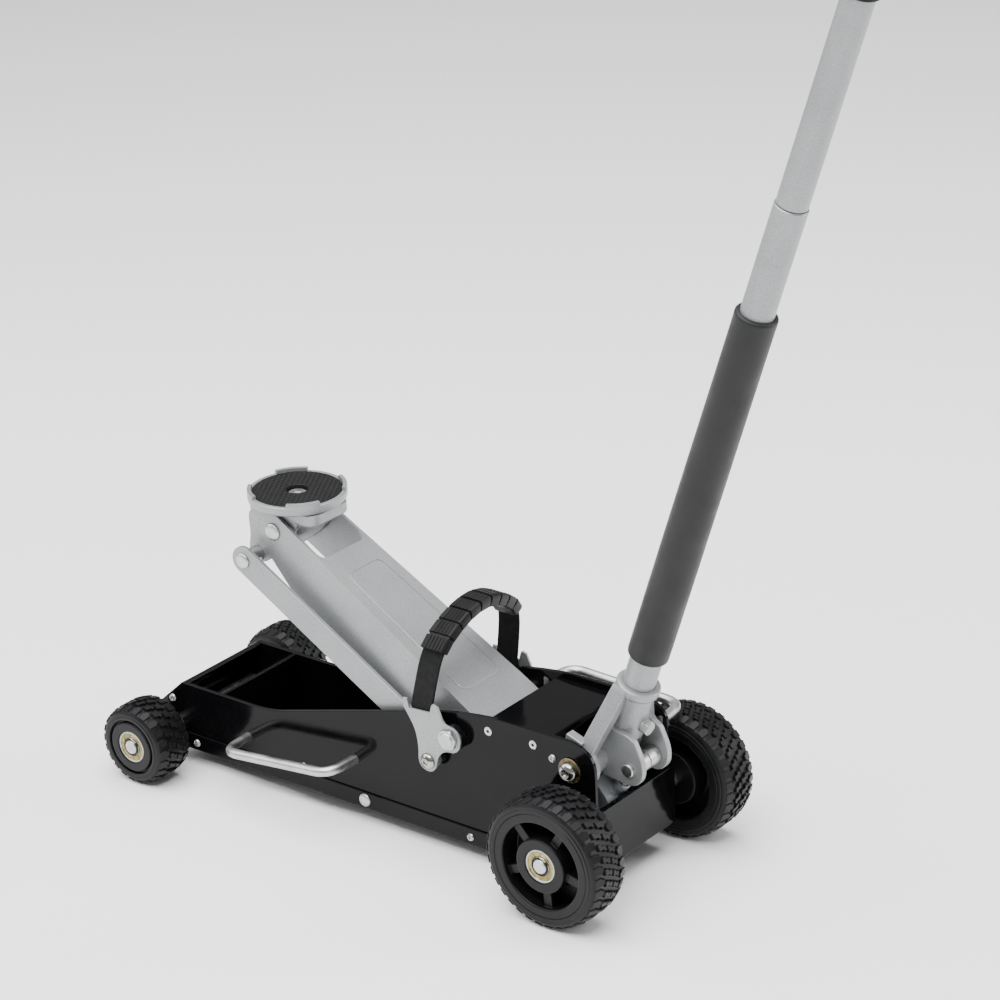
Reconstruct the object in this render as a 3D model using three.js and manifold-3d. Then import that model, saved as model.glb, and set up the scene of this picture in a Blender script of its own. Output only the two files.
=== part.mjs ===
// Hydraulic floor jack with all-terrain wheels.
// Millimetres, +Z up, +X toward the handle, -Y is the side called "near".
// Every piece is drawn in the jack's own frame (x = 0 at the front axle, z = 0 on the floor) and moved
// once, at the end, so that the whole object is centred over the origin.
import * as THREE from 'three';
import { mergeVertices } from 'three/addons/utils/BufferGeometryUtils.js';
import Module from 'manifold-3d';

// ---------------------------------------------------------------- driving dimensions
const GAP = 0.3;                    // clearance left between pieces that touch in real life

const WHEELBASE = 616.5;            // front axle to rear axle
const FRONT_WHEEL = { r: 50.3, w: 55, face: 155.4 };
const REAR_WHEEL = { r: 78.8, w: 57, face: 153.4 };
const AXLE_R = 8.5;                 // 17 mm axle
const BEARING = { outer: 20, inner: 8.5, w: 12 };   // 17 x 40 x 12 ball bearing
const AXLE_PROUD = 0.9;             // how far the axle end stands past the wheel face

const PLATE_OUT = 71.3;             // outer face of each side plate
const PLATE_T = 5;
const PLATE_TOP_FRONT = 105.5;
const PLATE_TOP_REAR = 2 * REAR_WHEEL.r + 34.9;   // the yoke and the far bar clear the rear wheels
const PLATE_REAR_X = WHEELBASE + 17.5;
const PLATE_NOSE_X = -28;
const PLATE_IN = PLATE_OUT - PLATE_T;
const TRAY_Z = 20;                  // ground clearance
const TRAY_T = 2;
const FLANGE_H = 21;                // height of the tray's side flange

const ARM_PIVOT = [438, 155];       // x, z of the main shaft
const HEAD_PIVOT = [150, 326];      // x, z of the saddle bracket pivot on the arm
const LINK_OFFSET = [-32, -37];     // link pivots, measured from the arm's two pivots
const SHAFT_R = 12;
const ARM_T = 5;
const LINK_T = 6;
const LINK_IN = PLATE_IN - LINK_T - 5.3;   // inner face of each link bar
const ARM_HALF = LINK_IN - 2;       // half width of the arm at the shaft
const ARM_HEAD_HALF = ARM_HALF - 13;      // half width of the arm at the head
const LINK_H = 34;
const LINK_PIN_R = 6;
const HORN_R = 50;                  // shaft to horn pin
const HORN_LEAN = -0.5;             // degrees forward of straight down, the arm at mid stroke
const HORN_PIN_R = 7;
const BLOCK_HALF = 34;              // half width of the pump block
const SPRING_Y = BLOCK_HALF + 7;    // the return springs run beside it
const HORN_OUT = ARM_HALF - 23;     // outer and inner faces of the two horns
const HORN_IN = HORN_OUT - 8;

const SADDLE = { x: 155.7, r: 59, pad: 53.5, top: 368.7, rim: 355, tab: 371.8 };
const BRACKET_T = 5.5;
const BRACKET_IN = ARM_HEAD_HALF - ARM_T - 0.5 - BRACKET_T;   // inner face of the head bracket's walls

const RAM_Z = 108;
const HORN_SWING = 30;              // degrees the horn swings each way
const BORE_R = 21;
const ROD_R = 11;

const YOKE_PIVOT = [WHEELBASE - 16.5, PLATE_TOP_REAR - 35.5];
const HUB_OUT = PLATE_IN - 2.8;     // outer face of the yoke's hubs
const HUB_W = 13.5;
const CYL = { x0: ARM_PIVOT[0] + 48.3, x1: YOKE_PIVOT[0] - 39, r: 25 };
const TANK = { x0: CYL.x0 + 10.7, r: 33, t: 2.5 };
const HANDLE_LEAN = 19.27;          // degrees behind upright
const HANDLE_U = 12.4;              // handle axis behind the yoke pivot
const TUBE = { r: 18.5, wall: 2.2, w0: 42, w1: 721 };
const UPPER = { r: 17.3, wall: 2.4, w1: 1086, insert: 70 };
const FOAM = { r: 23.8, w0: 139.7, w1: 591 };
const HAND_GRIP = { r: 21.5, w0: 962, w1: 1091 };
const ROLLER = { u: 47, w: 11, r: 11 };
const PLUNGER = { dir: [-0.6, -0.8], r: 6, y: 9.5, gap: 1.8, len: 52 };

const SIDE_BAR_R = 5.9;
const LEG_SLACK = 0.7;              // the bars' legs run slightly askew through the plates
const CARRY = { x: 397, lean: 0.1875, top: 288, strapW: 30, strapT: 3.5, plateIn: PLATE_OUT + 10, plateT: 3 };

const SEG = 20;                     // facets round an ordinary tube
const PIN_SEG = 12;                 // facets round a pin, bolt or its hole
const WHEEL_SEG = 32;

// ---------------------------------------------------------------- values that follow from them
const TRAY_TOP = TRAY_Z + TRAY_T;
const INSIDE = PLATE_IN - GAP;      // half width of anything fitted between the plates
const LINK_PIVOT = [ARM_PIVOT[0] + LINK_OFFSET[0], ARM_PIVOT[1] + LINK_OFFSET[1]];
const LINK_HEAD = [HEAD_PIVOT[0] + LINK_OFFSET[0], HEAD_PIVOT[1] + LINK_OFFSET[1]];
const deg = (d) => d * Math.PI / 180;
const HORN = [ARM_PIVOT[0] - HORN_R * Math.sin(deg(HORN_LEAN)),
  ARM_PIVOT[1] - HORN_R * Math.cos(deg(HORN_LEAN))];
const HANDLE_DIR = [Math.sin(deg(HANDLE_LEAN)), Math.cos(deg(HANDLE_LEAN))];
const GRIP_CHAMFER = 3;
const HANDLE_END_X = YOKE_PIVOT[0] + (HANDLE_U + HAND_GRIP.r) * HANDLE_DIR[1]
  + (HAND_GRIP.w1 - GRIP_CHAMFER) * HANDLE_DIR[0];
const CENTRE_X = (HANDLE_END_X - FRONT_WHEEL.r) / 2;

// ---------------------------------------------------------------- solid helpers
const wasm = await Module();
wasm.setup();

// A three.js geometry becomes a closed solid; one that came out inside out is turned round.
function solid(geometry) {
  let g = geometry.index ? geometry.clone() : mergeVertices(geometry.clone());
  for (const name of Object.keys(g.attributes)) if (name !== 'position') g.deleteAttribute(name);
  g = mergeVertices(g, 1e-4);
  const p = g.attributes.position.array;
  const tris = [];
  let volume = 0;
  for (let i = 0; i < g.index.count; i += 3) {
    const [a, b, c] = [0, 1, 2].map((k) => g.index.array[i + k]);
    if (a === b || b === c || a === c) continue;
    tris.push(a, b, c);
    const [A, B, C] = [a, b, c].map((k) => new THREE.Vector3(p[3 * k], p[3 * k + 1], p[3 * k + 2]));
    volume += A.dot(B.cross(C));
  }
  if (volume < 0) for (let i = 0; i < tris.length; i += 3) [tris[i], tris[i + 1]] = [tris[i + 1], tris[i]];
  return new wasm.Manifold(new wasm.Mesh({
    numProp: 3, vertProperties: new Float32Array(p), triVerts: new Uint32Array(tris),
  }));
}
const join = (first, ...rest) => rest.reduce((a, b) => a.add(b), first);
const cut = (first, ...rest) => rest.reduce((a, b) => a.subtract(b), first);

function box(x0, x1, y0, y1, z0, z1) {
  const g = new THREE.BoxGeometry(x1 - x0, y1 - y0, z1 - z0);
  return solid(g.translate((x0 + x1) / 2, (y0 + y1) / 2, (z0 + z1) / 2));
}
// Round bars along each axis.
function rodY(r, y0, y1, x, z, seg = SEG) {
  return solid(new THREE.CylinderGeometry(r, r, y1 - y0, seg).translate(x, (y0 + y1) / 2, z));
}
function rodX(r, x0, x1, y, z, seg = SEG) {
  const g = new THREE.CylinderGeometry(r, r, x1 - x0, seg).rotateZ(-Math.PI / 2);
  return solid(g.translate((x0 + x1) / 2, y, z));
}
function rodZ(r, z0, z1, x, y, seg = SEG) {
  const g = new THREE.CylinderGeometry(r, r, z1 - z0, seg).rotateX(Math.PI / 2);
  return solid(g.translate(x, y, (z0 + z1) / 2));
}
// A flat outline: a THREE.Shape or a list of points.
function outline(points) {
  if (points instanceof THREE.Shape) return points;
  return new THREE.Shape(points.map(([a, b]) => new THREE.Vector2(a, b)));
}
// An x-z outline given thickness along Y, a y-z outline given length along X, an x-y outline along Z.
function plateY(points, y0, y1, curve = 4) {
  const g = new THREE.ExtrudeGeometry(outline(points), { depth: y1 - y0, bevelEnabled: false, curveSegments: curve });
  return solid(g.rotateX(Math.PI / 2).translate(0, y1, 0));
}
function plateX(points, x0, x1) {
  const g = new THREE.ExtrudeGeometry(outline(points), { depth: x1 - x0, bevelEnabled: false });
  g.applyMatrix4(new THREE.Matrix4().set(0, 0, 1, x0, 1, 0, 0, 0, 0, 1, 0, 0, 0, 0, 0, 1));
  return solid(g);
}
function plateZ(points, z0, z1, curve = 6) {
  const g = new THREE.ExtrudeGeometry(outline(points), { depth: z1 - z0, bevelEnabled: false, curveSegments: curve });
  return solid(g.translate(0, 0, z0));
}
// A bar with two round ends between two x-z points.
function stadium([ax, az], [bx, bz], r, n = 10) {
  const turn = Math.atan2(bz - az, bx - ax);
  const points = [];
  for (let i = 0; i <= n; i++) {
    const t = turn + Math.PI / 2 + Math.PI * i / n;
    points.push([ax + r * Math.cos(t), az + r * Math.sin(t)]);
  }
  for (let i = 0; i <= n; i++) {
    const t = turn - Math.PI / 2 + Math.PI * i / n;
    points.push([bx + r * Math.cos(t), bz + r * Math.sin(t)]);
  }
  return points;
}
// Turned shapes: pairs of (radius, distance along the axis), closed on themselves or on the axis.
function turned(pairs, seg = SEG) {
  return new THREE.LatheGeometry(pairs.map(([r, h]) => new THREE.Vector2(r, h)), seg);
}
const turnY = (pairs, x, z, seg) => solid(turned(pairs, seg).translate(x, 0, z));
const turnZ = (pairs, x, y, seg) => solid(turned(pairs, seg).rotateX(Math.PI / 2).translate(x, y, 0));
const turnX = (pairs, y, z, seg) => solid(turned(pairs, seg).rotateZ(-Math.PI / 2).translate(0, y, z));
const ring = (inner, outer, a, b) => [[inner, a], [outer, a], [outer, b], [inner, b], [inner, a]];

// A section carried along a curve.
function swept(section, curve, steps) {
  return solid(new THREE.ExtrudeGeometry(outline(section), { steps, bevelEnabled: false, extrudePath: curve }));
}
function roundSection(r, n = 10) {
  return Array.from({ length: n }, (_, i) => [r * Math.cos(2 * Math.PI * i / n), r * Math.sin(2 * Math.PI * i / n)]);
}
// Local handle frame: u backward, w along the handle, both from the yoke pivot.
function onHandle(shape) {
  const m = new THREE.Matrix4().makeRotationY(deg(HANDLE_LEAN));
  m.setPosition(YOKE_PIVOT[0], 0, YOKE_PIVOT[1]);
  return shape.transform(m.elements);
}
// The same piece on the other side of the jack.
const mirrored = (shape) => shape.mirror([0, 1, 0]);

const group = new THREE.Group();
group.name = 'floor_jack';
function piece(name, shape, color, roughness, metalness) {
  const mesh = shape.getMesh();
  const geometry = new THREE.BufferGeometry();
  const flat = new Float32Array(mesh.numVert * 3);
  for (let i = 0; i < mesh.numVert; i++) {
    for (let k = 0; k < 3; k++) flat[3 * i + k] = mesh.vertProperties[i * mesh.numProp + k];
  }
  geometry.setAttribute('position', new THREE.BufferAttribute(flat, 3));
  geometry.setIndex(new THREE.BufferAttribute(new Uint32Array(mesh.triVerts), 1));
  geometry.translate(-CENTRE_X, 0, 0);
  geometry.computeVertexNormals();
  const node = new THREE.Mesh(geometry, new THREE.MeshStandardMaterial({ color, roughness, metalness }));
  node.name = name;
  group.add(node);
}
function pair(name, shape, color, roughness, metalness) {
  piece(name + '_near', shape, color, roughness, metalness);
  piece(name + '_far', mirrored(shape), color, roughness, metalness);
}
const BLACK = [0x17181b, 0.16, 0.1];
const SILVER = [0xb9bcbf, 0.42, 0.55];
const STEEL = [0xc9ccd0, 0.28, 1.0];
const DARK = [0x2a2b2e, 0.45, 0.8];
const RUBBER = [0x1b1b1d, 0.8, 0.0];

// ---------------------------------------------------------------- side plates
function plateOutline() {
  const s = new THREE.Shape();
  const low = TRAY_TOP + GAP;
  const corner = 32;
  s.moveTo(PLATE_NOSE_X + 8, low);
  s.lineTo(WHEELBASE - 46, low);
  s.lineTo(PLATE_REAR_X, low + 19.2);
  s.lineTo(PLATE_REAR_X, PLATE_TOP_REAR - corner);
  s.quadraticCurveTo(PLATE_REAR_X, PLATE_TOP_REAR - 4, PLATE_REAR_X - corner - 4, PLATE_TOP_REAR);
  s.lineTo(ARM_PIVOT[0] + 62, PLATE_TOP_REAR - 1);
  s.quadraticCurveTo(ARM_PIVOT[0] + 2, PLATE_TOP_REAR - 5, ARM_PIVOT[0] - 66, PLATE_TOP_REAR - 25.5);
  s.lineTo(178, PLATE_TOP_FRONT + 7.5);
  s.quadraticCurveTo(155, PLATE_TOP_FRONT, 122, PLATE_TOP_FRONT);
  s.lineTo(10.5, PLATE_TOP_FRONT);
  s.lineTo(PLATE_NOSE_X, 71);
  s.lineTo(PLATE_NOSE_X, low + 8);
  return s;
}
const BAR_NEAR = { x0: 115, z0: 61.8, x1: 284, z1: 80, y: PLATE_OUT + 45.7 };
const BAR_FAR = {
  x0: ARM_PIVOT[0] + 24, z0: 2 * REAR_WHEEL.r + 14.9, x1: WHEELBASE + 8.5, z1: 2 * REAR_WHEEL.r + 9.9,
  y: PLATE_OUT + 40.7,
};
function sidePlate(bar) {
  const hole = (r, [x, z], seg = PIN_SEG) => rodY(r + GAP, -PLATE_OUT - 1, -PLATE_IN + 1, x, z, seg);
  return cut(
    plateY(plateOutline(), -PLATE_OUT, -PLATE_IN),
    hole(AXLE_R, [0, FRONT_WHEEL.r]), hole(AXLE_R, [WHEELBASE, REAR_WHEEL.r]),
    hole(SHAFT_R, ARM_PIVOT, SEG), hole(LINK_PIN_R, LINK_PIVOT), hole(8, YOKE_PIVOT),
    hole(SIDE_BAR_R + LEG_SLACK, [bar.x0, bar.z0]), hole(SIDE_BAR_R + LEG_SLACK, [bar.x1, bar.z1]),
    hole(6, [297.4, 31.2]),
  );
}
piece('side_plate_near', sidePlate(BAR_NEAR), ...BLACK);
piece('side_plate_far', mirrored(sidePlate(BAR_FAR)), ...BLACK);

// ---------------------------------------------------------------- skid tray, covers
const FLANGE_IN = PLATE_OUT + GAP;
const FLANGE_OUT = FLANGE_IN + TRAY_T;
const TRAY_REAR = PLATE_REAR_X + TRAY_T;            // inner face of the rear panel
const PANEL_TOP = YOKE_PIVOT[1] - 44.5;
const trayKick = WHEELBASE - 46;
const TRAY_NOSE = PLATE_NOSE_X + 6;
const tray = join(
  plateY([[TRAY_NOSE, TRAY_Z], [trayKick, TRAY_Z], [TRAY_REAR + TRAY_T, TRAY_Z + 20.1],
    [TRAY_REAR + TRAY_T, PANEL_TOP], [TRAY_REAR, PANEL_TOP], [TRAY_REAR, TRAY_Z + 21.6],
    [trayKick - 0.3, TRAY_TOP], [TRAY_NOSE, TRAY_TOP]], -FLANGE_OUT, FLANGE_OUT),
  box(TRAY_REAR - 6, TRAY_REAR + 0.5, -INSIDE, INSIDE, PANEL_TOP - TRAY_T, PANEL_TOP),
  ...[-1, 1].map((side) => {
    const [a, b] = side < 0 ? [-FLANGE_OUT, -FLANGE_IN] : [FLANGE_IN, FLANGE_OUT];
    return plateY([[TRAY_NOSE, TRAY_Z], [trayKick, TRAY_Z], [TRAY_REAR + TRAY_T, TRAY_Z + 20.1],
      [TRAY_REAR + TRAY_T, TRAY_Z + 20.1 + FLANGE_H], [trayKick - 3, TRAY_Z + FLANGE_H],
      [TRAY_NOSE, TRAY_Z + FLANGE_H]], a, b);
  }),
);
const braceHole = rodY(6 + GAP, -FLANGE_OUT - 1, FLANGE_OUT + 1, 297.4, 31.2, PIN_SEG);
piece('skid_tray', cut(tray, braceHole), ...BLACK);

const COVER_T = 3;
const NOSE_IN = PLATE_NOSE_X + 3;
piece('front_panel', plateY([[17, PLATE_TOP_FRONT - 0.6], [9.8, PLATE_TOP_FRONT - 0.6], [NOSE_IN, 72], [NOSE_IN, 40],
  [NOSE_IN + COVER_T, 40], [NOSE_IN + COVER_T, 70.6], [11, PLATE_TOP_FRONT - 0.6 - COVER_T],
  [17, PLATE_TOP_FRONT - 0.6 - COVER_T]], -INSIDE, INSIDE), ...BLACK);
const CROSS_X = 71;
piece('front_cross_plate', join(
  box(CROSS_X, CROSS_X + 4, -INSIDE, INSIDE, TRAY_TOP + GAP, PLATE_TOP_FRONT - 0.4),
  box(CROSS_X - 14, CROSS_X + 1, -INSIDE, INSIDE, TRAY_TOP + GAP, TRAY_TOP + GAP + COVER_T),
), ...BLACK);
const TOP_COVER_Z = PLATE_TOP_REAR - 8;
const COVER_FROM = ARM_PIVOT[0] + 43;
const COVER_TO = YOKE_PIVOT[0] - 33;
piece('top_cover', plateY([[COVER_FROM, TOP_COVER_Z], [COVER_TO, TOP_COVER_Z], [COVER_TO, TOP_COVER_Z - 9],
  [COVER_TO - COVER_T, TOP_COVER_Z - 9], [COVER_TO - COVER_T, TOP_COVER_Z - COVER_T],
  [COVER_FROM + COVER_T, TOP_COVER_Z - COVER_T], [COVER_FROM + COVER_T, TOP_COVER_Z - 12],
  [COVER_FROM, TOP_COVER_Z - 12]], -INSIDE, INSIDE), ...BLACK);

// ---------------------------------------------------------------- axles, brace, side bars
piece('front_axle', rodY(AXLE_R, -FRONT_WHEEL.face - AXLE_PROUD, FRONT_WHEEL.face + AXLE_PROUD,
  0, FRONT_WHEEL.r, PIN_SEG), ...STEEL);
piece('rear_axle', rodY(AXLE_R, -REAR_WHEEL.face - AXLE_PROUD, REAR_WHEEL.face + AXLE_PROUD,
  WHEELBASE, REAR_WHEEL.r, PIN_SEG), ...STEEL);
const BRACE_END = FLANGE_OUT + GAP;
piece('cross_brace', join(
  rodY(6, -BRACE_END, BRACE_END, 297.4, 31.2, PIN_SEG),
  rodY(8.2, -BRACE_END - 3, -BRACE_END, 297.4, 31.2, PIN_SEG), rodY(8.2, BRACE_END, BRACE_END + 3, 297.4, 31.2, PIN_SEG),
), ...STEEL);

// A bent bar: two legs into the plate joined by a rail, with rounded corners.
function sideBar({ x0, z0, x1, z1, y }) {
  const inset = 4;
  const corners = [[x0, -PLATE_IN - GAP, z0], [x0 + inset, -y, z0 + (z1 - z0) * inset / (x1 - x0)],
    [x1 - inset, -y, z1 - (z1 - z0) * inset / (x1 - x0)], [x1, -PLATE_IN - GAP, z1]]
    .map((c) => new THREE.Vector3(...c));
  const path = new THREE.CurvePath();
  const r = 22;
  const at = (i, j) => corners[i].clone().lerp(corners[j], r / corners[i].distanceTo(corners[j]));
  path.add(new THREE.LineCurve3(corners[0], at(1, 0)));
  path.add(new THREE.QuadraticBezierCurve3(at(1, 0), corners[1], at(1, 2)));
  path.add(new THREE.LineCurve3(at(1, 2), at(2, 1)));
  path.add(new THREE.QuadraticBezierCurve3(at(2, 1), corners[2], at(2, 3)));
  path.add(new THREE.LineCurve3(at(2, 3), corners[3]));
  const points = [];
  path.curves.forEach((c) => points.push(...(c.isLineCurve3 ? [c.v1] : c.getPoints(6).slice(1, -1)), c.getPoint(1)));
  const dense = new THREE.CurvePath();
  [corners[0], ...points.slice(1)].forEach((p, i, all) => { if (i) dense.add(new THREE.LineCurve3(all[i - 1], p)); });
  return swept(roundSection(SIDE_BAR_R, 8), dense, 26);
}
piece('side_bar_near', sideBar(BAR_NEAR), ...STEEL);
piece('side_bar_far', mirrored(sideBar(BAR_FAR)), ...STEEL);

// ---------------------------------------------------------------- arm shaft, nuts, chassis bolts
const NUT_T = CARRY.plateIn - PLATE_OUT - 2 * GAP;
const SHAFT_END_R = 9.5;
const SHAFT_END = CARRY.plateIn + CARRY.plateT + 6;
piece('arm_shaft', join(
  rodY(SHAFT_R, -PLATE_OUT, PLATE_OUT, ...ARM_PIVOT),
  rodY(SHAFT_END_R, -SHAFT_END, SHAFT_END, ...ARM_PIVOT),
), ...STEEL);
pair('shaft_nut', cut(
  rodY(17, -PLATE_OUT - GAP - NUT_T, -PLATE_OUT - GAP, ...ARM_PIVOT, 6),
  rodY(SHAFT_END_R + GAP, -PLATE_OUT - GAP - NUT_T - 1, -PLATE_OUT, ...ARM_PIVOT),
), ...DARK);
const BOLT_IN = ARM_HALF + 1.2;     // inner end of each link bolt, clear of the arm
pair('link_bolt', join(
  rodY(LINK_PIN_R, -CARRY.plateIn - CARRY.plateT - 1, -BOLT_IN, ...LINK_PIVOT, PIN_SEG),
  turnY([[0, -CARRY.plateIn - CARRY.plateT - GAP - 5], [5, -CARRY.plateIn - CARRY.plateT - GAP - 5],
    [9.6, -CARRY.plateIn - CARRY.plateT - GAP - 2], [9.6, -CARRY.plateIn - CARRY.plateT - GAP],
    [0, -CARRY.plateIn - CARRY.plateT - GAP]], ...LINK_PIVOT, PIN_SEG),
), ...STEEL);
const WASHER_T = 2;
pair('yoke_washer', turnY(ring(8 + GAP, 15, -PLATE_OUT - GAP - WASHER_T, -PLATE_OUT - GAP), ...YOKE_PIVOT, PIN_SEG),
  0xa98c56, 0.35, 0.9);
const YOKE_HEAD = -PLATE_OUT - WASHER_T - 2 * GAP;
pair('yoke_bolt', join(
  rodY(8, YOKE_HEAD - 1, 25.5 - HUB_OUT, ...YOKE_PIVOT, PIN_SEG),
  turnY([[0, YOKE_HEAD - 8], [6, YOKE_HEAD - 8], [11, YOKE_HEAD - 3], [11, YOKE_HEAD], [0, YOKE_HEAD]],
    ...YOKE_PIVOT, PIN_SEG),
), ...STEEL);

// ---------------------------------------------------------------- lift arm
// Drawn at constant width, then drawn in toward the head.
const HEAD_EAR = 21.5;              // rounding of the arm's walls about the head pivot
const WINDOW_X = 224;               // where the arm's top plate stops short of the head
const armTop = (x) => 263 - 0.5858 * (x - 300);
function armShape() {
  const s = new THREE.Shape();
  s.moveTo(463, armTop(463));
  s.lineTo(WINDOW_X, armTop(WINDOW_X));
  s.absarc(...HEAD_PIVOT, HEAD_EAR, deg(59), deg(200), false);
  s.lineTo(142, 293);
  s.lineTo(188, 243);
  s.lineTo(414, 129);
  s.quadraticCurveTo(424, 124, 438, 124);
  s.quadraticCurveTo(470, 126, 471, 156);
  s.quadraticCurveTo(471, 168, 463, armTop(463));
  return s;
}
const inner = ARM_HALF - ARM_T;
const topBand = (depth, x0, x1, half, lift = 0) => plateY([[x0, armTop(x0) + lift], [x1, armTop(x1) + lift],
  [x1, armTop(x1) - depth], [x0, armTop(x0) - depth]], -half, half);
const hollow = cut(
  plateY([[100, 100], [100, 420], [520, 420], [520, 100]], -inner, inner),
  topBand(ARM_T / Math.cos(deg(30.4)), WINDOW_X, 462.8, inner + 1),
);
const window = plateY([[100, 420], [WINDOW_X, 420], [WINDOW_X, armTop(WINDOW_X) - 12], [100, armTop(100) - 12]],
  -inner, inner);
let arm = cut(plateY(armShape(), -ARM_HALF, ARM_HALF), hollow, window);
arm = join(arm,
  rodY(20, -inner - 1, inner + 1, ...ARM_PIVOT),
  ...[[-HORN_OUT, -HORN_IN], [HORN_IN, HORN_OUT]].map((y) => plateY(stadium(ARM_PIVOT, HORN, 14), ...y)),
  topBand(1, 256, 420, 33, 2.2),
);
arm = cut(arm, rodY(SHAFT_R + GAP, -90, 90, ...ARM_PIVOT), rodY(8 + GAP, -90, 90, ...HEAD_PIVOT, PIN_SEG),
  rodY(HORN_PIN_R + GAP, -40, 40, ...HORN, PIN_SEG));
const taper = (ARM_HALF - ARM_HEAD_HALF) / ARM_HALF / (ARM_PIVOT[0] - HEAD_PIVOT[0]);
arm = arm.warp((v) => { if (v[0] < ARM_PIVOT[0]) v[1] *= 1 + taper * (v[0] - ARM_PIVOT[0]); });
piece('lift_arm', arm, ...SILVER);
piece('horn_pin', rodY(HORN_PIN_R, -SPRING_Y - 4.5, SPRING_Y + 4.5, ...HORN, PIN_SEG), ...STEEL);

// ---------------------------------------------------------------- link bars, head
pair('link_bar', cut(
  plateY(stadium(LINK_PIVOT, LINK_HEAD, LINK_H / 2), -LINK_IN - LINK_T, -LINK_IN),
  ...[LINK_PIVOT, LINK_HEAD].map((at) => rodY(LINK_PIN_R + 2 * GAP, -PLATE_OUT, 1 - LINK_IN, ...at, PIN_SEG)),
), ...SILVER);
const BRACKET_OUT = BRACKET_IN + BRACKET_T;
const DISC = [SADDLE.rim - 10, SADDLE.rim - GAP];
function bracketWall(y0, y1) {
  return join(
    plateY([[LINK_HEAD[0], LINK_HEAD[1] + 8], [LINK_HEAD[0] + 12, LINK_HEAD[1] - 6], [168, 308], [190, DISC[0] + 1],
      [118, DISC[0] + 1], [118, 316]], y0, y1),
    rodY(14, y0, y1, ...LINK_HEAD), rodY(19, y0, y1, ...HEAD_PIVOT),
  );
}
const BOLT_HOLE = 6.5 + GAP;
piece('head_bracket', cut(join(
  rodZ(57, DISC[0], DISC[1], SADDLE.x, 0, 32).intersect(
    box(SADDLE.x - 60, SADDLE.x + 60, -BRACKET_OUT, BRACKET_OUT, DISC[0] - 1, DISC[1] + 1)),
  bracketWall(-BRACKET_OUT, -BRACKET_IN), bracketWall(BRACKET_IN, BRACKET_OUT),
  box(118, 123, -BRACKET_IN - 1, BRACKET_IN + 1, 300, DISC[0] + 1),
), rodY(8 + GAP, -60, 60, ...HEAD_PIVOT, PIN_SEG), rodY(LINK_PIN_R + GAP, -60, 60, ...LINK_HEAD, PIN_SEG),
rodZ(BOLT_HOLE, 330, 360, SADDLE.x, 0, PIN_SEG)), ...SILVER);
const CAP_Y = ARM_HEAD_HALF + 0.6;
piece('head_pin', join(rodY(8, -CAP_Y, CAP_Y, ...HEAD_PIVOT, PIN_SEG),
  rodY(10.5, -CAP_Y - 4, -CAP_Y, ...HEAD_PIVOT, PIN_SEG), rodY(10.5, CAP_Y, CAP_Y + 4, ...HEAD_PIVOT, PIN_SEG)), ...STEEL);
const LINK_OUT = LINK_IN + LINK_T;
piece('link_head_pin', turnY([[0, -LINK_OUT - GAP - 3.2], [9.5, -LINK_OUT - GAP - 3.2], [9.5, -LINK_OUT - GAP],
  [LINK_PIN_R, -LINK_OUT - GAP], [LINK_PIN_R, -LINK_IN + GAP], [10, -LINK_IN + GAP], [10, -BRACKET_OUT - GAP],
  [LINK_PIN_R, -BRACKET_OUT - GAP], [LINK_PIN_R, BRACKET_OUT + GAP], [10, BRACKET_OUT + GAP], [10, LINK_IN - GAP],
  [LINK_PIN_R, LINK_IN - GAP], [LINK_PIN_R, LINK_OUT + GAP], [9.5, LINK_OUT + GAP], [9.5, LINK_OUT + GAP + 3.2],
  [0, LINK_OUT + GAP + 3.2]], ...LINK_HEAD, PIN_SEG), ...STEEL);

// ---------------------------------------------------------------- saddle
const FLOOR = SADDLE.rim + 6;
function tabs() {
  return [0, 1, 2, 3].map((k) => {
    const a0 = deg(90 * k - 62);
    const span = deg(40);
    const pts = [];
    for (let i = 0; i <= 6; i++) pts.push([SADDLE.r * Math.cos(a0 + span * i / 6), SADDLE.r * Math.sin(a0 + span * i / 6)]);
    for (let i = 6; i >= 0; i--) {
      const r = SADDLE.pad + GAP;
      pts.push([r * Math.cos(a0 + span * i / 6), r * Math.sin(a0 + span * i / 6)]);
    }
    return plateZ(pts.map(([a, b]) => [SADDLE.x + a, b]), SADDLE.top - 4, SADDLE.tab);
  });
}
piece('saddle', join(
  turnZ([[BOLT_HOLE, SADDLE.rim], [SADDLE.r, SADDLE.rim], [SADDLE.r, SADDLE.top - 1.5],
    [SADDLE.pad + GAP, SADDLE.top - 1.5], [SADDLE.pad + GAP, FLOOR], [BOLT_HOLE, FLOOR], [BOLT_HOLE, SADDLE.rim]],
  SADDLE.x, 0, 36), ...tabs(),
), ...SILVER);
piece('saddle_pad', turnZ(ring(13, SADDLE.pad, FLOOR + GAP, SADDLE.top), SADDLE.x, 0, 28), ...RUBBER);
piece('saddle_bolt', turnZ([[0, DISC[0] - 7], [10.5, DISC[0] - 7], [10.5, DISC[0] - GAP], [6.5, DISC[0] - GAP],
  [6.5, FLOOR + GAP], [11, FLOOR + GAP], [11, FLOOR + 4], [8, FLOOR + 5.5], [0, FLOOR + 5.5]], SADDLE.x, 0, PIN_SEG), ...STEEL);

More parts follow.
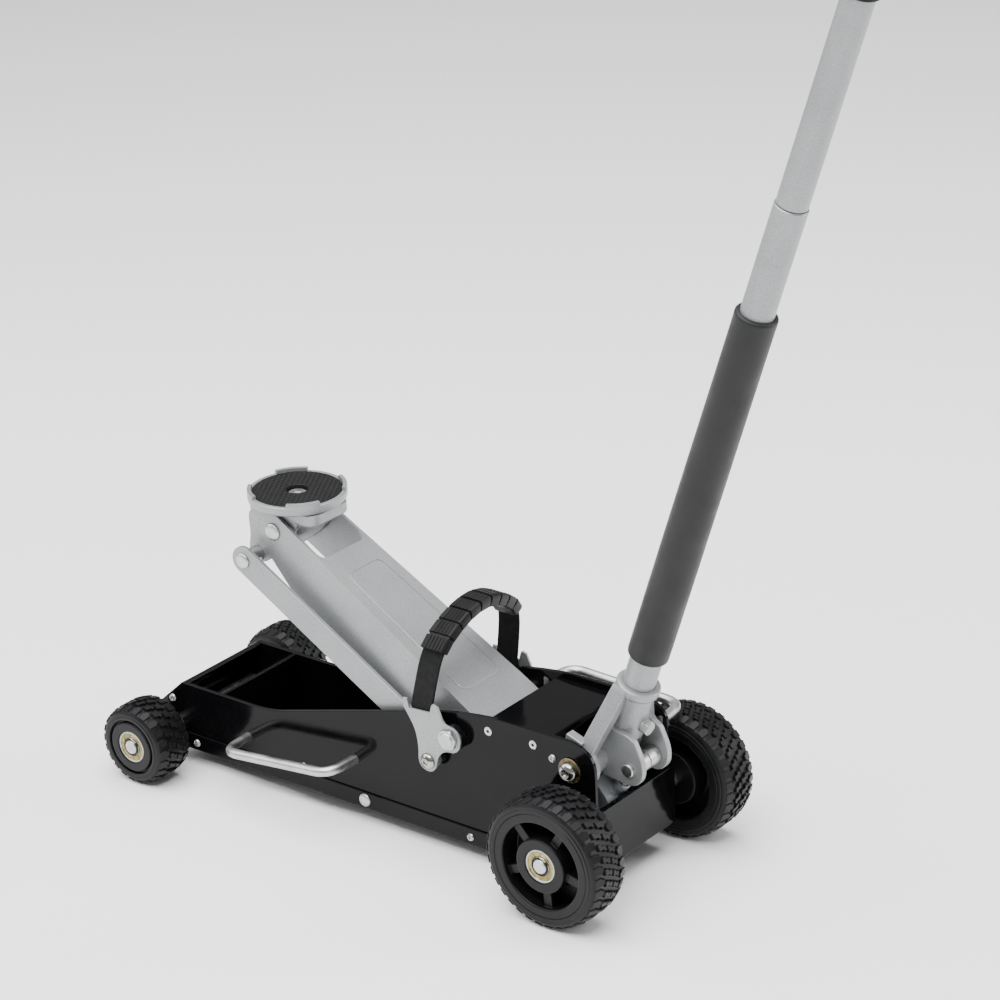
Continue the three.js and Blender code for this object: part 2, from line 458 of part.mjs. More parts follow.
// ---------------------------------------------------------------- hydraulic unit
piece('ram_cylinder', turnX([[ROD_R + GAP, CYL.x0], [CYL.r, CYL.x0], [CYL.r, CYL.x1], [BORE_R, CYL.x1],
  [BORE_R, CYL.x0 + 7], [ROD_R + GAP, CYL.x0 + 7], [ROD_R + GAP, CYL.x0]], 0, RAM_Z), ...DARK);
piece('reservoir_tank', turnX([[CYL.r + GAP, TANK.x0], [TANK.r, TANK.x0], [TANK.r, CYL.x1], [TANK.r - TANK.t, CYL.x1],
  [TANK.r - TANK.t, TANK.x0 + 3], [CYL.r + GAP, TANK.x0 + 3], [CYL.r + GAP, TANK.x0]], 0, RAM_Z), ...SILVER);
const CROSS_HALF = 16;
const PISTON_END = CYL.x1 - 2 - HORN_R * Math.sin(deg(HORN_SWING)) - HORN[0] + ARM_PIVOT[0];
piece('ram_rod', join(
  rodX(ROD_R, HORN[0] + CROSS_HALF + GAP, PISTON_END - 4, 0, RAM_Z),
  rodX(BORE_R - GAP, PISTON_END - 8, PISTON_END, 0, RAM_Z),
  rodX(7, HORN[0] + 10, HORN[0] + CROSS_HALF + 1, 0, RAM_Z, PIN_SEG),
), ...STEEL);
const slotHalf = HORN_PIN_R + 0.8;
const slotLow = ARM_PIVOT[1] - HORN_R - 0.8;
const slotHigh = ARM_PIVOT[1] - HORN_R * Math.cos(deg(HORN_SWING)) + 0.8;
piece('crosshead', cut(
  plateY([[HORN[0] - CROSS_HALF, RAM_Z - 17], [HORN[0] - CROSS_HALF + 4, RAM_Z - 21], [HORN[0] + CROSS_HALF, RAM_Z - 21],
    [HORN[0] + CROSS_HALF, RAM_Z + 21], [HORN[0] - CROSS_HALF + 4, RAM_Z + 21], [HORN[0] - CROSS_HALF, RAM_Z + 17]],
  2 - HORN_IN, HORN_IN - 2),
  plateY(stadium([HORN[0], slotLow], [HORN[0], slotHigh], slotHalf, 6), -30, 30),
  rodX(7 + GAP, HORN[0] + 9.5, HORN[0] + CROSS_HALF + 1, 0, RAM_Z, PIN_SEG),
), ...DARK);

const rollerAt = [YOKE_PIVOT[0] + ROLLER.u * HANDLE_DIR[1] + ROLLER.w * HANDLE_DIR[0],
  YOKE_PIVOT[1] - ROLLER.u * HANDLE_DIR[0] + ROLLER.w * HANDLE_DIR[1]];
const plungerTop = [0, 1].map((k) => rollerAt[k] + (ROLLER.r + PLUNGER.gap) * PLUNGER.dir[k]);
// A round bar on the plunger's slanting axis, between two distances from its top.
function onPlunger(r, t0, t1, y, seg = 24) {
  const g = new THREE.CylinderGeometry(r, r, t1 - t0, seg).translate(0, -(t0 + t1) / 2, 0).rotateX(Math.PI / 2);
  g.rotateY(Math.atan2(-PLUNGER.dir[0], -PLUNGER.dir[1]));
  return solid(g.translate(plungerTop[0], y, plungerTop[1]));
}
const valve = (r, w0, w1) => onHandle(rodZ(r, w0, w1, HANDLE_U, 0, PIN_SEG));
const BLOCK_X = CYL.x1 + GAP;
const block = cut(join(
  plateY([[BLOCK_X, 70], [CYL.x1 + 11, 62], [TRAY_REAR - 5, 62], [TRAY_REAR - 5, PANEL_TOP - 20.5],
    [YOKE_PIVOT[0] + 20, YOKE_PIVOT[1] - 45], [YOKE_PIVOT[0] + 4, YOKE_PIVOT[1] - 27],
    [YOKE_PIVOT[0] - 12, YOKE_PIVOT[1] - 25], [BLOCK_X, YOKE_PIVOT[1] - 11]], -BLOCK_HALF, BLOCK_HALF),
  box(CYL.x1 + 10, CYL.x1 + 31, -INSIDE, INSIDE, 84, 104),
  onPlunger(9, 21, 46, -PLUNGER.y), onPlunger(9, 21, 46, PLUNGER.y),
), rodY(AXLE_R + GAP, -80, 80, WHEELBASE, REAR_WHEEL.r, PIN_SEG),
...[-1, 1].map((s) => onPlunger(PLUNGER.r + GAP, 10, PLUNGER.len + 18, s * PLUNGER.y)),
valve(6 + GAP, -41, 0));
piece('power_block', block, 0x8f9296, 0.5, 0.6);
pair('pump_plunger', join(onPlunger(PLUNGER.r, 2, PLUNGER.len, -PLUNGER.y), onPlunger(8.2, 0, 3, -PLUNGER.y)), ...STEEL);
piece('release_valve', join(valve(6, -40, -6), onHandle(box(HANDLE_U - 1.6, HANDLE_U + 1.6, -5, 5, -7, -3))), ...STEEL);

// Coil return springs, from the horn pin back to the block's feet.
function spring() {
  const turns = 9;
  const x0 = HORN[0] + HORN_PIN_R + 2.4;
  const x1 = CYL.x1 + 9 - GAP;
  class Coil extends THREE.Curve {
    getPoint(t) {
      const a = 2 * Math.PI * turns * t;
      return new THREE.Vector3(x0 + (x1 - x0) * t, -SPRING_Y + 4.2 * Math.cos(a), 92 + (104 - 92) * (1 - t) + 4.2 * Math.sin(a));
    }
  }
  return swept(roundSection(0.95, 3), new Coil(), turns * 7);
}
pair('return_spring', spring(), ...STEEL);

// ---------------------------------------------------------------- handle socket
function socket() {
  const tubeR = TUBE.r + 3.4;
  const lug = stadium([0, 0], [ROLLER.u, ROLLER.w], 19);
  const hubIn = HUB_OUT - HUB_W;
  const armOut = [[28, 100], [27.5, 84], [hubIn, 52], [HUB_OUT - 4.5, 30], [HUB_OUT, 12], [HUB_OUT, 0], [hubIn, 0],
    [hubIn - 4, 26], [hubIn - 12, 50], [20, 74], [20, 100]];
  const arms = [-1, 1].map((s) => plateX(armOut.map(([y, w]) => [s * y, w]), -5, 14));
  const parts = [
    rodZ(tubeR, 36, 98, HANDLE_U, 0),
    turnZ([[0, 89], [tubeR + 1, 89], [25.4, 91.5], [25.4, 99.5], [tubeR + 1.5, 101.5], [0, 101.5]], HANDLE_U, 0),
    rodY(20, -hubIn - 2, hubIn + 2, 0, 0), rodY(27, -HUB_OUT, -hubIn, 0, 0), rodY(27, hubIn, HUB_OUT, 0, 0),
    box(-8, 30, -15, 15, 8, 40),
    ...arms,
    ...[-1, 1].map((s) => box(-23, 0, s < 0 ? 1.5 - HUB_OUT : hubIn, s < 0 ? -hubIn : HUB_OUT - 1.5, 12, 33)),
    ...[-1, 1].map((s) => join(plateY(lug, s < 0 ? -28 : 20, s < 0 ? -20 : 28),
      plateY([[-12, 10], [56, 24], [30, 46], [8, 46]], s < 0 ? -28 : 20, s < 0 ? -20 : 28))),
    rodX(8.5, 28, HANDLE_U + tubeR + 2.4, 0, 54, PIN_SEG),
  ];
  return cut(join(...parts),
    rodZ(TUBE.r + GAP, TUBE.w0 - GAP, 110, HANDLE_U, 0),
    rodZ(6.8, -30, 60, HANDLE_U, 0, PIN_SEG), box(-30, 45, -14, 14, -30, 6),
    rodY(8 + GAP, -HUB_OUT - 1, 14 - hubIn, 0, 0, PIN_SEG), rodY(8 + GAP, hubIn - 14, HUB_OUT + 1, 0, 0, PIN_SEG),
    rodY(5 + GAP, -40, 40, ROLLER.u, ROLLER.w, PIN_SEG),
    rodX(5 + GAP, 28, 60, 0, 54, PIN_SEG));
}
piece('handle_socket', onHandle(socket()), ...SILVER);
piece('pump_roller', onHandle(turnY(ring(5 + GAP, ROLLER.r, -19.7, 19.7), ROLLER.u, ROLLER.w)), ...STEEL);
piece('roller_pin', onHandle(join(rodY(5, -28.6, 28.6, ROLLER.u, ROLLER.w, PIN_SEG),
  rodY(8, -31.6, -28.3, ROLLER.u, ROLLER.w, PIN_SEG), rodY(8, 28.3, 31.6, ROLLER.u, ROLLER.w, PIN_SEG))), ...STEEL);
const bossEnd = HANDLE_U + TUBE.r + 3.4 + 2.4;
piece('clamp_bolt', onHandle(join(rodX(5, HANDLE_U + TUBE.r + GAP, bossEnd + 2, 0, 54, PIN_SEG),
  rodX(9, bossEnd + GAP, bossEnd + 7, 0, 54, 6))), ...STEEL);

// ---------------------------------------------------------------- handle
piece('handle_lower', onHandle(join(
  turnZ([[0, TUBE.w0], [TUBE.r, TUBE.w0], [TUBE.r, TUBE.w1], [TUBE.r - TUBE.wall, TUBE.w1],
    [TUBE.r - TUBE.wall, TUBE.w0 + 8], [0, TUBE.w0 + 8]], HANDLE_U, 0),
  rodZ(6, 5, TUBE.w0 + 2, HANDLE_U, 0, PIN_SEG),
)), ...SILVER);
const insertR = TUBE.r - TUBE.wall - GAP;
piece('handle_upper', onHandle(turnZ([[insertR - UPPER.wall, TUBE.w1 - UPPER.insert], [insertR, TUBE.w1 - UPPER.insert],
  [insertR, TUBE.w1 + GAP], [UPPER.r, TUBE.w1 + GAP + 1.5], [UPPER.r, UPPER.w1], [insertR - UPPER.wall, UPPER.w1],
  [insertR - UPPER.wall, TUBE.w1 - UPPER.insert]], HANDLE_U, 0)), ...SILVER);
piece('foam_sleeve', onHandle(turnZ([[TUBE.r + GAP, FOAM.w0], [FOAM.r - 0.8, FOAM.w0], [FOAM.r, FOAM.w0 + 0.8],
  [FOAM.r, FOAM.w1 - 0.8], [FOAM.r - 0.8, FOAM.w1], [TUBE.r + GAP, FOAM.w1], [TUBE.r + GAP, FOAM.w0]], HANDLE_U, 0)), ...RUBBER);
piece('hand_grip', onHandle(turnZ([[UPPER.r + GAP, HAND_GRIP.w0], [HAND_GRIP.r - 1.5, HAND_GRIP.w0],
  [HAND_GRIP.r, HAND_GRIP.w0 + 2], [HAND_GRIP.r, HAND_GRIP.w1 - GRIP_CHAMFER], [HAND_GRIP.r - GRIP_CHAMFER, HAND_GRIP.w1], [0, HAND_GRIP.w1],
  [0, UPPER.w1 + GAP], [UPPER.r + GAP, UPPER.w1 + GAP], [UPPER.r + GAP, HAND_GRIP.w0]], HANDLE_U, 0)), ...RUBBER);

// ---------------------------------------------------------------- carry handle
const PLATE_AT = [-CARRY.plateIn - CARRY.plateT, -CARRY.plateIn];
function carryBracket() {
  const s = new THREE.Shape();
  s.moveTo(373, 190);
  s.lineTo(379, 190);
  s.lineTo(382, 179);
  s.lineTo(412, 181);
  s.lineTo(417, 193);
  s.lineTo(423, 191);
  s.lineTo(433, 171);
  s.quadraticCurveTo(454, 170, 455, 155);
  s.quadraticCurveTo(453, 138, 438, 138);
  s.quadraticCurveTo(422, 136, 419, 118);
  s.quadraticCurveTo(416, 104, 404, 105);
  s.quadraticCurveTo(392, 107, 392, 120);
  s.quadraticCurveTo(394, 148, 384, 163);
  s.lineTo(373, 180);
  return cut(join(
    plateY(s, ...PLATE_AT, 4),
    rodY(15, ...PLATE_AT, ...ARM_PIVOT, PIN_SEG), rodY(12.5, ...PLATE_AT, ...LINK_PIVOT, PIN_SEG),
    rodY(10, -CARRY.plateIn - 1, -PLATE_OUT - GAP, ...LINK_PIVOT, PIN_SEG),
  ), rodY(SHAFT_END_R + GAP, PLATE_AT[0] - 1, -PLATE_OUT, ...ARM_PIVOT),
  rodY(LINK_PIN_R + GAP, PLATE_AT[0] - 1, -PLATE_OUT, ...LINK_PIVOT, PIN_SEG));
}
pair('carry_bracket', carryBracket(), ...SILVER);
const strapY = CARRY.plateIn - GAP - CARRY.strapT / 2;
const archHalf = [[strapY, 160], [strapY - 0.6, 184], [strapY - 3.05, 212], [strapY - 6.75, 238], [strapY - 14.75, 257],
  [0.593 * strapY, 272.5], [0.303 * strapY, 284], [0, CARRY.top]];
const arch = [...archHalf.map(([y, z]) => [-y, z]), ...archHalf.slice(0, -1).reverse()];
const archCurve = new THREE.CatmullRomCurve3(arch.map(([y, z]) => new THREE.Vector3(0, y, z)), false, 'centripetal');
class Part extends THREE.Curve {
  constructor(curve, a, b) { super(); this.curve = curve; this.a = a; this.b = b; }
  getPoint(t) { return this.curve.getPointAt(this.a + (this.b - this.a) * t); }
}
// The arch leans back above the brackets.
const leaned = (shape) => shape.warp((v) => { v[0] += CARRY.x + CARRY.lean * Math.max(0, v[2] - 184); });
const rect = (w, t) => [[-w / 2, -t / 2], [w / 2, -t / 2], [w / 2, t / 2], [-w / 2, t / 2]];
piece('carry_strap', leaned(swept(rect(CARRY.strapW, CARRY.strapT), archCurve, 44)), ...RUBBER);
const gripSection = [[-17.5, -5], [-13, -8.5], [13, -8.5], [17.5, -5], [17.5, 5], [13, 8.5], [-13, 8.5], [-17.5, 5]];
piece('carry_grip', leaned(cut(
  swept(gripSection, new Part(archCurve, 0.265, 0.735), 22),
  swept(rect(CARRY.strapW + 2 * GAP, CARRY.strapT + 4 * GAP), new Part(archCurve, 0.2, 0.8), 30),
)), ...RUBBER);

// ---------------------------------------------------------------- wheels and bearings
function wheel({ r, w, face }, x) {
  const outer = -face;
  const innerFace = -face + w;
  const chamfer = 7;
  const bore = AXLE_R + 1;
  const seat = BEARING.outer + GAP;
  const floor = outer + 1.2 + BEARING.w + GAP;
  const profile = [[bore, floor], [seat, floor], [seat, outer], [r - chamfer, outer], [r, outer + chamfer],
    [r, innerFace - chamfer], [r - chamfer, innerFace], [bore, innerFace], [bore, floor]];
  return { body: turnY(profile, x, r, WHEEL_SEG), outer, innerFace };
}
const front = wheel(FRONT_WHEEL, 0);
const groove = turnY(ring(31.5, 34.5, front.outer - 1, front.outer + 5), 0, FRONT_WHEEL.r, WHEEL_SEG);
const frontInner = turnY(ring(16, 38, front.innerFace - 14, front.innerFace + 1), 0, FRONT_WHEEL.r, WHEEL_SEG);
pair('front_wheel', cut(front.body, groove, frontInner), 0x1c1d1f, 0.6, 0.0);

const RIM = 51.9;
const HUB = 32.5;
const rear = wheel(REAR_WHEEL, WHEELBASE);
const spokes = [0, 1, 2, 3, 4].map((k) => {
  const g = new THREE.BoxGeometry(RIM + 3 - (HUB - 3), 40, 11).translate((RIM + HUB) / 2, 0, 0);
  return solid(g.rotateY(-deg(60 + 72 * k)).translate(WHEELBASE, rear.outer + 26, REAR_WHEEL.r));
});
const dishOuter = turnY(ring(HUB, RIM, rear.outer - 1, rear.outer + 26), WHEELBASE, REAR_WHEEL.r, WHEEL_SEG);
const dishInner = turnY(ring(HUB, RIM, rear.innerFace - 24, rear.innerFace + 1), WHEELBASE, REAR_WHEEL.r, WHEEL_SEG);
pair('rear_wheel', cut(rear.body, cut(dishOuter, ...spokes), dishInner), 0x1c1d1f, 0.6, 0.0);

function bearing(face, x, z) {
  const a = -face + 1.2;
  return turnY(ring(BEARING.inner + GAP, BEARING.outer, a, a + BEARING.w), x, z, WHEEL_SEG);
}
pair('front_bearing', bearing(FRONT_WHEEL.face, 0, FRONT_WHEEL.r), 0xcfc8a0, 0.3, 0.9);
pair('rear_bearing', bearing(REAR_WHEEL.face, WHEELBASE, REAR_WHEEL.r), 0xcfc8a0, 0.3, 0.9);

export default group;
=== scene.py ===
# %% [markdown]
# # A floor jack, dressed around its working frame
#
# The frame holds every moving part of the jack at its true size. This script gives those parts the
# surfaces that a workshop jack has: gloss black plate, silver hammered enamel, zinc, knobby rubber,
# webbing and foam. It is read from the top: first the frame and the camera, then the helpers, then the
# finishes, then one section for each group of parts.

# %% Frame, units and camera
import math

import bmesh
import bpy
from mathutils import Matrix, Vector


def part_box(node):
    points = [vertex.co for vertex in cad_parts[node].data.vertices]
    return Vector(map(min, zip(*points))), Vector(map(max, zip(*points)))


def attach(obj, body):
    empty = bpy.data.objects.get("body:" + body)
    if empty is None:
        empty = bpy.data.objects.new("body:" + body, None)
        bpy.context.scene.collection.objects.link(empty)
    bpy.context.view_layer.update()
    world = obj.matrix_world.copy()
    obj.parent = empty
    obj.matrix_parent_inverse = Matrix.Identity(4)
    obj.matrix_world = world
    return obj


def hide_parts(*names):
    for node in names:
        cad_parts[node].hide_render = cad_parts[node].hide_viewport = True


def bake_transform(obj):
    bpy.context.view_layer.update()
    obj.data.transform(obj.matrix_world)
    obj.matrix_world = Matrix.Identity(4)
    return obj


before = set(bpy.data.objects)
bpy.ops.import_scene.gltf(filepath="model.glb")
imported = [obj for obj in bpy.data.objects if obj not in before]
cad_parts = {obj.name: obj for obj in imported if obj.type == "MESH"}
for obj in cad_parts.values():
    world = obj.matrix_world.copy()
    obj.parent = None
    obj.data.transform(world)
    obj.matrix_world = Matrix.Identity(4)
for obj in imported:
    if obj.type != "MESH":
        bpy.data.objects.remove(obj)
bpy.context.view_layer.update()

MM = 0.001
FRONT_X = sum(corner.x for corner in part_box("front_axle")) / 2
TO_FRAME = Matrix.Translation((FRONT_X, 0, 0)) @ Matrix.Diagonal((MM, MM, MM, 1))

# %% [markdown]
# Sizes below are millimetres in the jack's own frame: x runs back from the front axle, y runs from the
# near side to the far side, and z is the height above the floor. The frame gives the places that the CAD
# model already knows, so a value such as the wheelbase is measured from it instead of being typed twice.

# %% Measures taken from the frame
def corner_mm(node):
    """Lowest and highest corner of a CAD part, in millimetres in the jack's frame."""
    low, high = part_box(node)
    back = TO_FRAME.inverted()
    return back @ low, back @ high


def middle_mm(node):
    low, high = corner_mm(node)
    return (low + high) / 2


WHEELBASE = middle_mm("rear_axle").x
FRONT_R = middle_mm("front_axle").z
REAR_R = middle_mm("rear_axle").z
SHAFT = middle_mm("arm_shaft")
HEAD = middle_mm("head_pin")
LINK_LOW = middle_mm("link_bolt_near")
LINK_TOP = middle_mm("link_head_pin")
YOKE = middle_mm("yoke_bolt_near")
SADDLE_LOW, SADDLE_HIGH = corner_mm("saddle")
SADDLE_X = middle_mm("saddle_pad").x
PLATE_OUT = -corner_mm("side_plate_near")[0].y
PLATE_T = PLATE_OUT + corner_mm("side_plate_near")[1].y
HANDLE_LEAN = math.radians(19.27)  # back from upright, as the yoke stands at rest
HANDLE_U = 12.4  # how far the handle's axis lies behind the yoke's pivot
print("wheelbase", round(WHEELBASE, 1), "wheels", round(FRONT_R, 1), round(REAR_R, 1), "head at",
      [round(v, 1) for v in HEAD])

# %% [markdown]
# The camera stands behind the near rear wheel, well back, with a long lens. A long lens keeps the sides
# of the jack nearly parallel, as a catalogue picture does. It is turned a little about its own axis.

# %% Camera
def place_camera():
    azimuth, elevation, roll = (math.radians(v) for v in (38.897, 23.061, -2.453))
    back = Vector((math.sin(azimuth) * math.cos(elevation), -math.cos(azimuth) * math.cos(elevation),
                   math.sin(elevation)))
    right = Vector((math.cos(azimuth), math.sin(azimuth), 0))
    up = back.cross(right)
    turned = Matrix((right, up, back)).transposed().to_4x4() @ Matrix.Rotation(roll, 4, "Z")
    data = bpy.data.cameras.new("camera")
    data.lens, data.sensor_width, data.clip_start, data.clip_end = 122.44, 36, 0.1, 50
    camera = bpy.data.objects.new("camera", data)
    target, distance = TO_FRAME @ Vector((459.5, 0, 423.3)), 3780.2 * MM
    camera.matrix_world = Matrix.Translation(target + back * distance) @ turned
    bpy.context.scene.collection.objects.link(camera)
    bpy.context.scene.camera = camera
    return camera


camera = place_camera()
print("camera at", [round(v, 2) for v in camera.location])

# %% [markdown]
# ## Building shapes
#
# Almost every part of a jack is either turned on a lathe, cut from plate, or bent from bar. So three
# makers do most of the work: one turns a profile, one gives an outline thickness, and one carries a
# section along a path. Each returns a bmesh in millimetres, and one last function moves it into the
# frame, rounds its edges and puts it on its body.

# %% Makers: turned, plate and swept shapes
def turned(profile, centre=(0, 0, 0), axis=(0, 1, 0), steps=72, arc=360.0):
    """A profile of (radius, distance along the axis) turned about the axis. Radius 0 makes a pole."""
    bm = bmesh.new()
    w = Vector(axis).normalized()
    u = w.orthogonal().normalized()
    v = w.cross(u)
    whole = arc >= 360
    count = steps if whole else steps + 1
    closed = profile[0] == profile[-1]
    points = profile[:-1] if closed else profile
    rings = []
    for radius, along in points:
        base = Vector(centre) + w * along
        if radius < 1e-6:
            rings.append([bm.verts.new(base)] * count)
            continue
        angles = [math.radians(arc) * i / steps for i in range(count)]
        rings.append([bm.verts.new(base + (u * math.cos(a) + v * math.sin(a)) * radius) for a in angles])
    following = rings[1:] + (rings[:1] if closed else [])
    for low, high in zip(rings, following):
        for i in range(steps):
            j = (i + 1) % count
            corners = list(dict.fromkeys((low[i], low[j], high[j], high[i])))
            if len(corners) > 2:
                bm.faces.new(corners)
    if not whole:
        for i in (0, -1):
            bm.faces.new([ring[i] for ring in rings])
    bmesh.ops.recalc_face_normals(bm, faces=bm.faces)
    return bm


def plate(outline, low, high, plane="Y"):
    """An outline given thickness: (x, z) along Y, (y, z) along X, or (x, y) along Z."""
    order = {"Y": lambda a, b, t: (a, t, b), "X": lambda a, b, t: (t, a, b), "Z": lambda a, b,
             t: (a, b, t)}[plane]
    bm = bmesh.new()
    face = bm.faces.new([bm.verts.new(order(a, b, low)) for a, b in outline])
    grown = bmesh.ops.extrude_face_region(bm, geom=[face])
    up = Vector(order(0, 0, high)) - Vector(order(0, 0, low))
    bmesh.ops.translate(bm, vec=up, verts=[g for g in grown["geom"] if isinstance(g, bmesh.types.BMVert)])
    bmesh.ops.recalc_face_normals(bm, faces=bm.faces)
    return bm


def soft_plate(outline, low, high, plane="Y", soft=1.0):
    """A plate whose two rims are rounded before it is joined to anything."""
    bm = plate(outline, low, high, plane)
    axis = "XYZ".index(plane)
    rims = [e for e in bm.edges if abs(e.verts[0].co[axis] - e.verts[1].co[axis]) < 0.01]
    bmesh.ops.bevel(bm, geom=rims, offset=soft, segments=3, profile=0.5, affect="EDGES", clamp_overlap=True)
    return bm


def block(x0, x1, y0, y1, z0, z1, soft=0.0):
    bm = plate([(x0, z0), (x1, z0), (x1, z1), (x0, z1)], y0, y1)
    if soft:
        bmesh.ops.bevel(bm, geom=bm.edges[:], offset=soft, segments=3, profile=0.5, affect="EDGES")
    return bm


def swept(section, path, up=(0, 0, 1), twist=None):
    """A closed section of (across, thick) carried along points, capped at both ends, with UVs in mm."""
    bm = bmesh.new()
    uv = bm.loops.layers.uv.new("cloth")
    rings, travelled, lengths = [], 0.0, []
    for i, p in enumerate(path):
        ahead = path[min(i + 1, len(path) - 1)] - path[max(i - 1, 0)]
        side = Vector(up).cross(ahead).normalized() if twist is None else Vector(twist)
        thick = ahead.cross(side).normalized()
        rings.append([bm.verts.new(p + side * a + thick * b) for a, b in section])
        travelled += (p - path[i - 1]).length if i else 0.0
        lengths.append(travelled)
    n = len(section)
    around = [sum(math.dist(section[k], section[(k + 1) % n]) for k in range(m)) for m in range(n + 1)]
    for i in range(len(rings) - 1):
        for k in range(n):
            face = bm.faces.new((rings[i][k], rings[i][(k + 1) % n], rings[i + 1][(k + 1) % n],
                                 rings[i + 1][k]))
            places = ((k, i), (k + 1, i), (k + 1, i + 1), (k, i + 1))
            for loop, (a, b) in zip(face.loops, places):
                loop[uv].uv = (around[a], lengths[b])
    bm.faces.new(rings[0])
    bm.faces.new(rings[-1])
    bmesh.ops.recalc_face_normals(bm, faces=bm.faces)
    return bm


print("makers ready: turned, plate, soft_plate, block, swept")

# %% [markdown]
# An outline is a list of corners, with arcs and soft bends where the real edge is round. Four small helpers
# draw them, so no curve is ever typed in point by point.

# %% Outlines
def arc(cx, cz, radius, start, end, steps=12):
    """Points on a circle between two angles in degrees."""
    angles = [math.radians(start + (end - start) * i / steps) for i in range(steps + 1)]
    return [(cx + radius * math.cos(a), cz + radius * math.sin(a)) for a in angles]


def bend(start, control, end, steps=12):
    """Points on a soft bend that leaves start and reaches end along the lines through control."""
    out = []
    for i in range(1, steps + 1):
        t = i / steps
        out.append(tuple((1 - t) ** 2 * s + 2 * t * (1 - t) * c + t * t * e for s, c,
                         e in zip(start, control, end)))
    return out


def stadium(a, b, radius, steps=20):
    """A bar with two round ends."""
    turn = math.degrees(math.atan2(b[1] - a[1], b[0] - a[0]))
    return arc(*a, radius, turn + 90, turn + 270, steps) + arc(*b, radius, turn - 90, turn + 90, steps)


def rounded(corners, radius, steps=6):
    """A closed outline with every corner rounded."""
    out = []
    for i, corner in enumerate(corners):
        p, before, after = Vector(corner), Vector(corners[i - 1]), Vector(corners[(i + 1) % len(corners)])
        reach = min(radius, (before - p).length * 0.45, (after - p).length * 0.45)
        start, end = p + (before - p).normalized() * reach, p + (after - p).normalized() * reach
        out += [tuple(start)] + bend(tuple(start), tuple(p), tuple(end), steps)
    return out


# %% [markdown]
# ## Cutting and joining
#
# A casting or a pressed channel is easier to think of as simple shapes joined and cut. The Boolean
# modifier does that exactly, and its result is read back as a plain mesh, so no modifier is left pointing
# at scrap.

# %% Booleans and copies of frame parts
def loose_object(bm, name="scrap"):
    mesh = bpy.data.meshes.new(name)
    bm.to_mesh(mesh)
    bm.free()
    thing = bpy.data.objects.new(name, mesh)
    bpy.context.scene.collection.objects.link(thing)
    return thing


def evaluated_bmesh(thing):
    """The finished mesh of an object, with its modifiers and Geometry Nodes worked out."""
    graph = bpy.context.evaluated_depsgraph_get()
    mesh = bpy.data.meshes.new_from_object(thing.evaluated_get(graph))
    bm = bmesh.new()
    bm.from_mesh(mesh)
    bpy.data.meshes.remove(mesh)
    return bm


def discard(*things):
    for thing in things:
        mesh = thing.data
        bpy.data.objects.remove(thing)
        bpy.data.meshes.remove(mesh)


def worked(base, joins=(), cuts=()):
    """A shape with others joined to it and cut from it."""
    body = loose_object(base)
    tools = []
    for operation, shapes in (("UNION", joins), ("DIFFERENCE", cuts)):
        for shape in shapes:
            tool = loose_object(shape)
            tools.append(tool)
            step = body.modifiers.new(operation, "BOOLEAN")
            step.operation, step.object, step.solver = operation, tool, "EXACT"
    bm = evaluated_bmesh(body)
    discard(body, *tools)
    bmesh.ops.remove_doubles(bm, verts=bm.verts, dist=0.01)
    bmesh.ops.dissolve_limit(bm, angle_limit=math.radians(0.5), verts=bm.verts, edges=bm.edges)
    return bm


def from_frame(node):
    """A merged copy of a frame part, in millimetres, ready to have its edges rounded."""
    bm = bmesh.new()
    bm.from_mesh(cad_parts[node].data)
    bmesh.ops.transform(bm, matrix=TO_FRAME.inverted(), verts=bm.verts)
    bmesh.ops.remove_doubles(bm, verts=bm.verts, dist=0.01)
    bmesh.ops.dissolve_limit(bm, angle_limit=math.radians(1), verts=bm.verts, edges=bm.edges)
    return bm


def joined(*shapes):
    """Several shapes in one mesh."""
    bm = shapes[0]
    for extra in shapes[1:]:
        mesh = bpy.data.meshes.new("extra")
        extra.to_mesh(mesh)
        extra.free()
        bm.from_mesh(mesh)
        bpy.data.meshes.remove(mesh)
    return bm


def mirrored(bm):
    """The same shape on the other side of the jack."""
    bmesh.ops.scale(bm, vec=(1, -1, 1), verts=bm.verts)
    bmesh.ops.reverse_faces(bm, faces=bm.faces)
    return bm


def on_handle(bm):
    """From the handle's own frame (u back, w along the handle, both from the yoke pivot) to the jack's."""
    place = Matrix.Translation((YOKE.x, 0, YOKE.z)) @ Matrix.Rotation(HANDLE_LEAN, 4, "Y")
    bmesh.ops.transform(bm, matrix=place, verts=bm.verts)
    return bm


# %% [markdown]
# A real edge is never sharp: paint pools on it and it catches the light. So most parts get a narrow bevel
# here, and the joined and cut ones are drawn with soft edges from the start. Faces are shaded smooth except
# across true corners.

# %% Finishing a part
made = []


def finish(name, bm, finish_material, body, replaces=(), round_mm=0.0, corner=32, segments=2):
    """Makes the part and puts it on its body. With no body, it is left unattached."""
    bmesh.ops.transform(bm, matrix=TO_FRAME, verts=bm.verts)
    for face in bm.faces:
        face.material_index = 0
    part = loose_object(bm, name)
    part.data.materials.clear()
    part.data.materials.append(finish_material)
    part.data.shade_smooth()
    part.data.set_sharp_from_angle(angle=math.radians(corner))
    if round_mm:
        edge = part.modifiers.new("rounded_edges", "BEVEL")
        edge.width, edge.segments, edge.limit_method = round_mm * MM, segments, "ANGLE"
        edge.angle_limit, edge.harden_normals = math.radians(corner), True
        edge.use_clamp_overlap, edge.miter_outer = False, "MITER_ARC"
    part.modifiers.new("flat_faces_stay_flat", "WEIGHTED_NORMAL").keep_sharp = True
    if body:
        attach(part, body)
    if replaces:
        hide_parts(*replaces)
    made.append(part)
    return part


SIDES = (("near", lambda bm: bm), ("far", mirrored))

# %% [markdown]
# ## Finishes
#
# Each finish is one material. Colours are picked as the hex values that a screen shows and turned to
# linear light by one function. Patterns are sized in millimetres: a noise of scale s has features about
# 1/s metres across, because the parts are in metres and the nodes read Object coordinates.

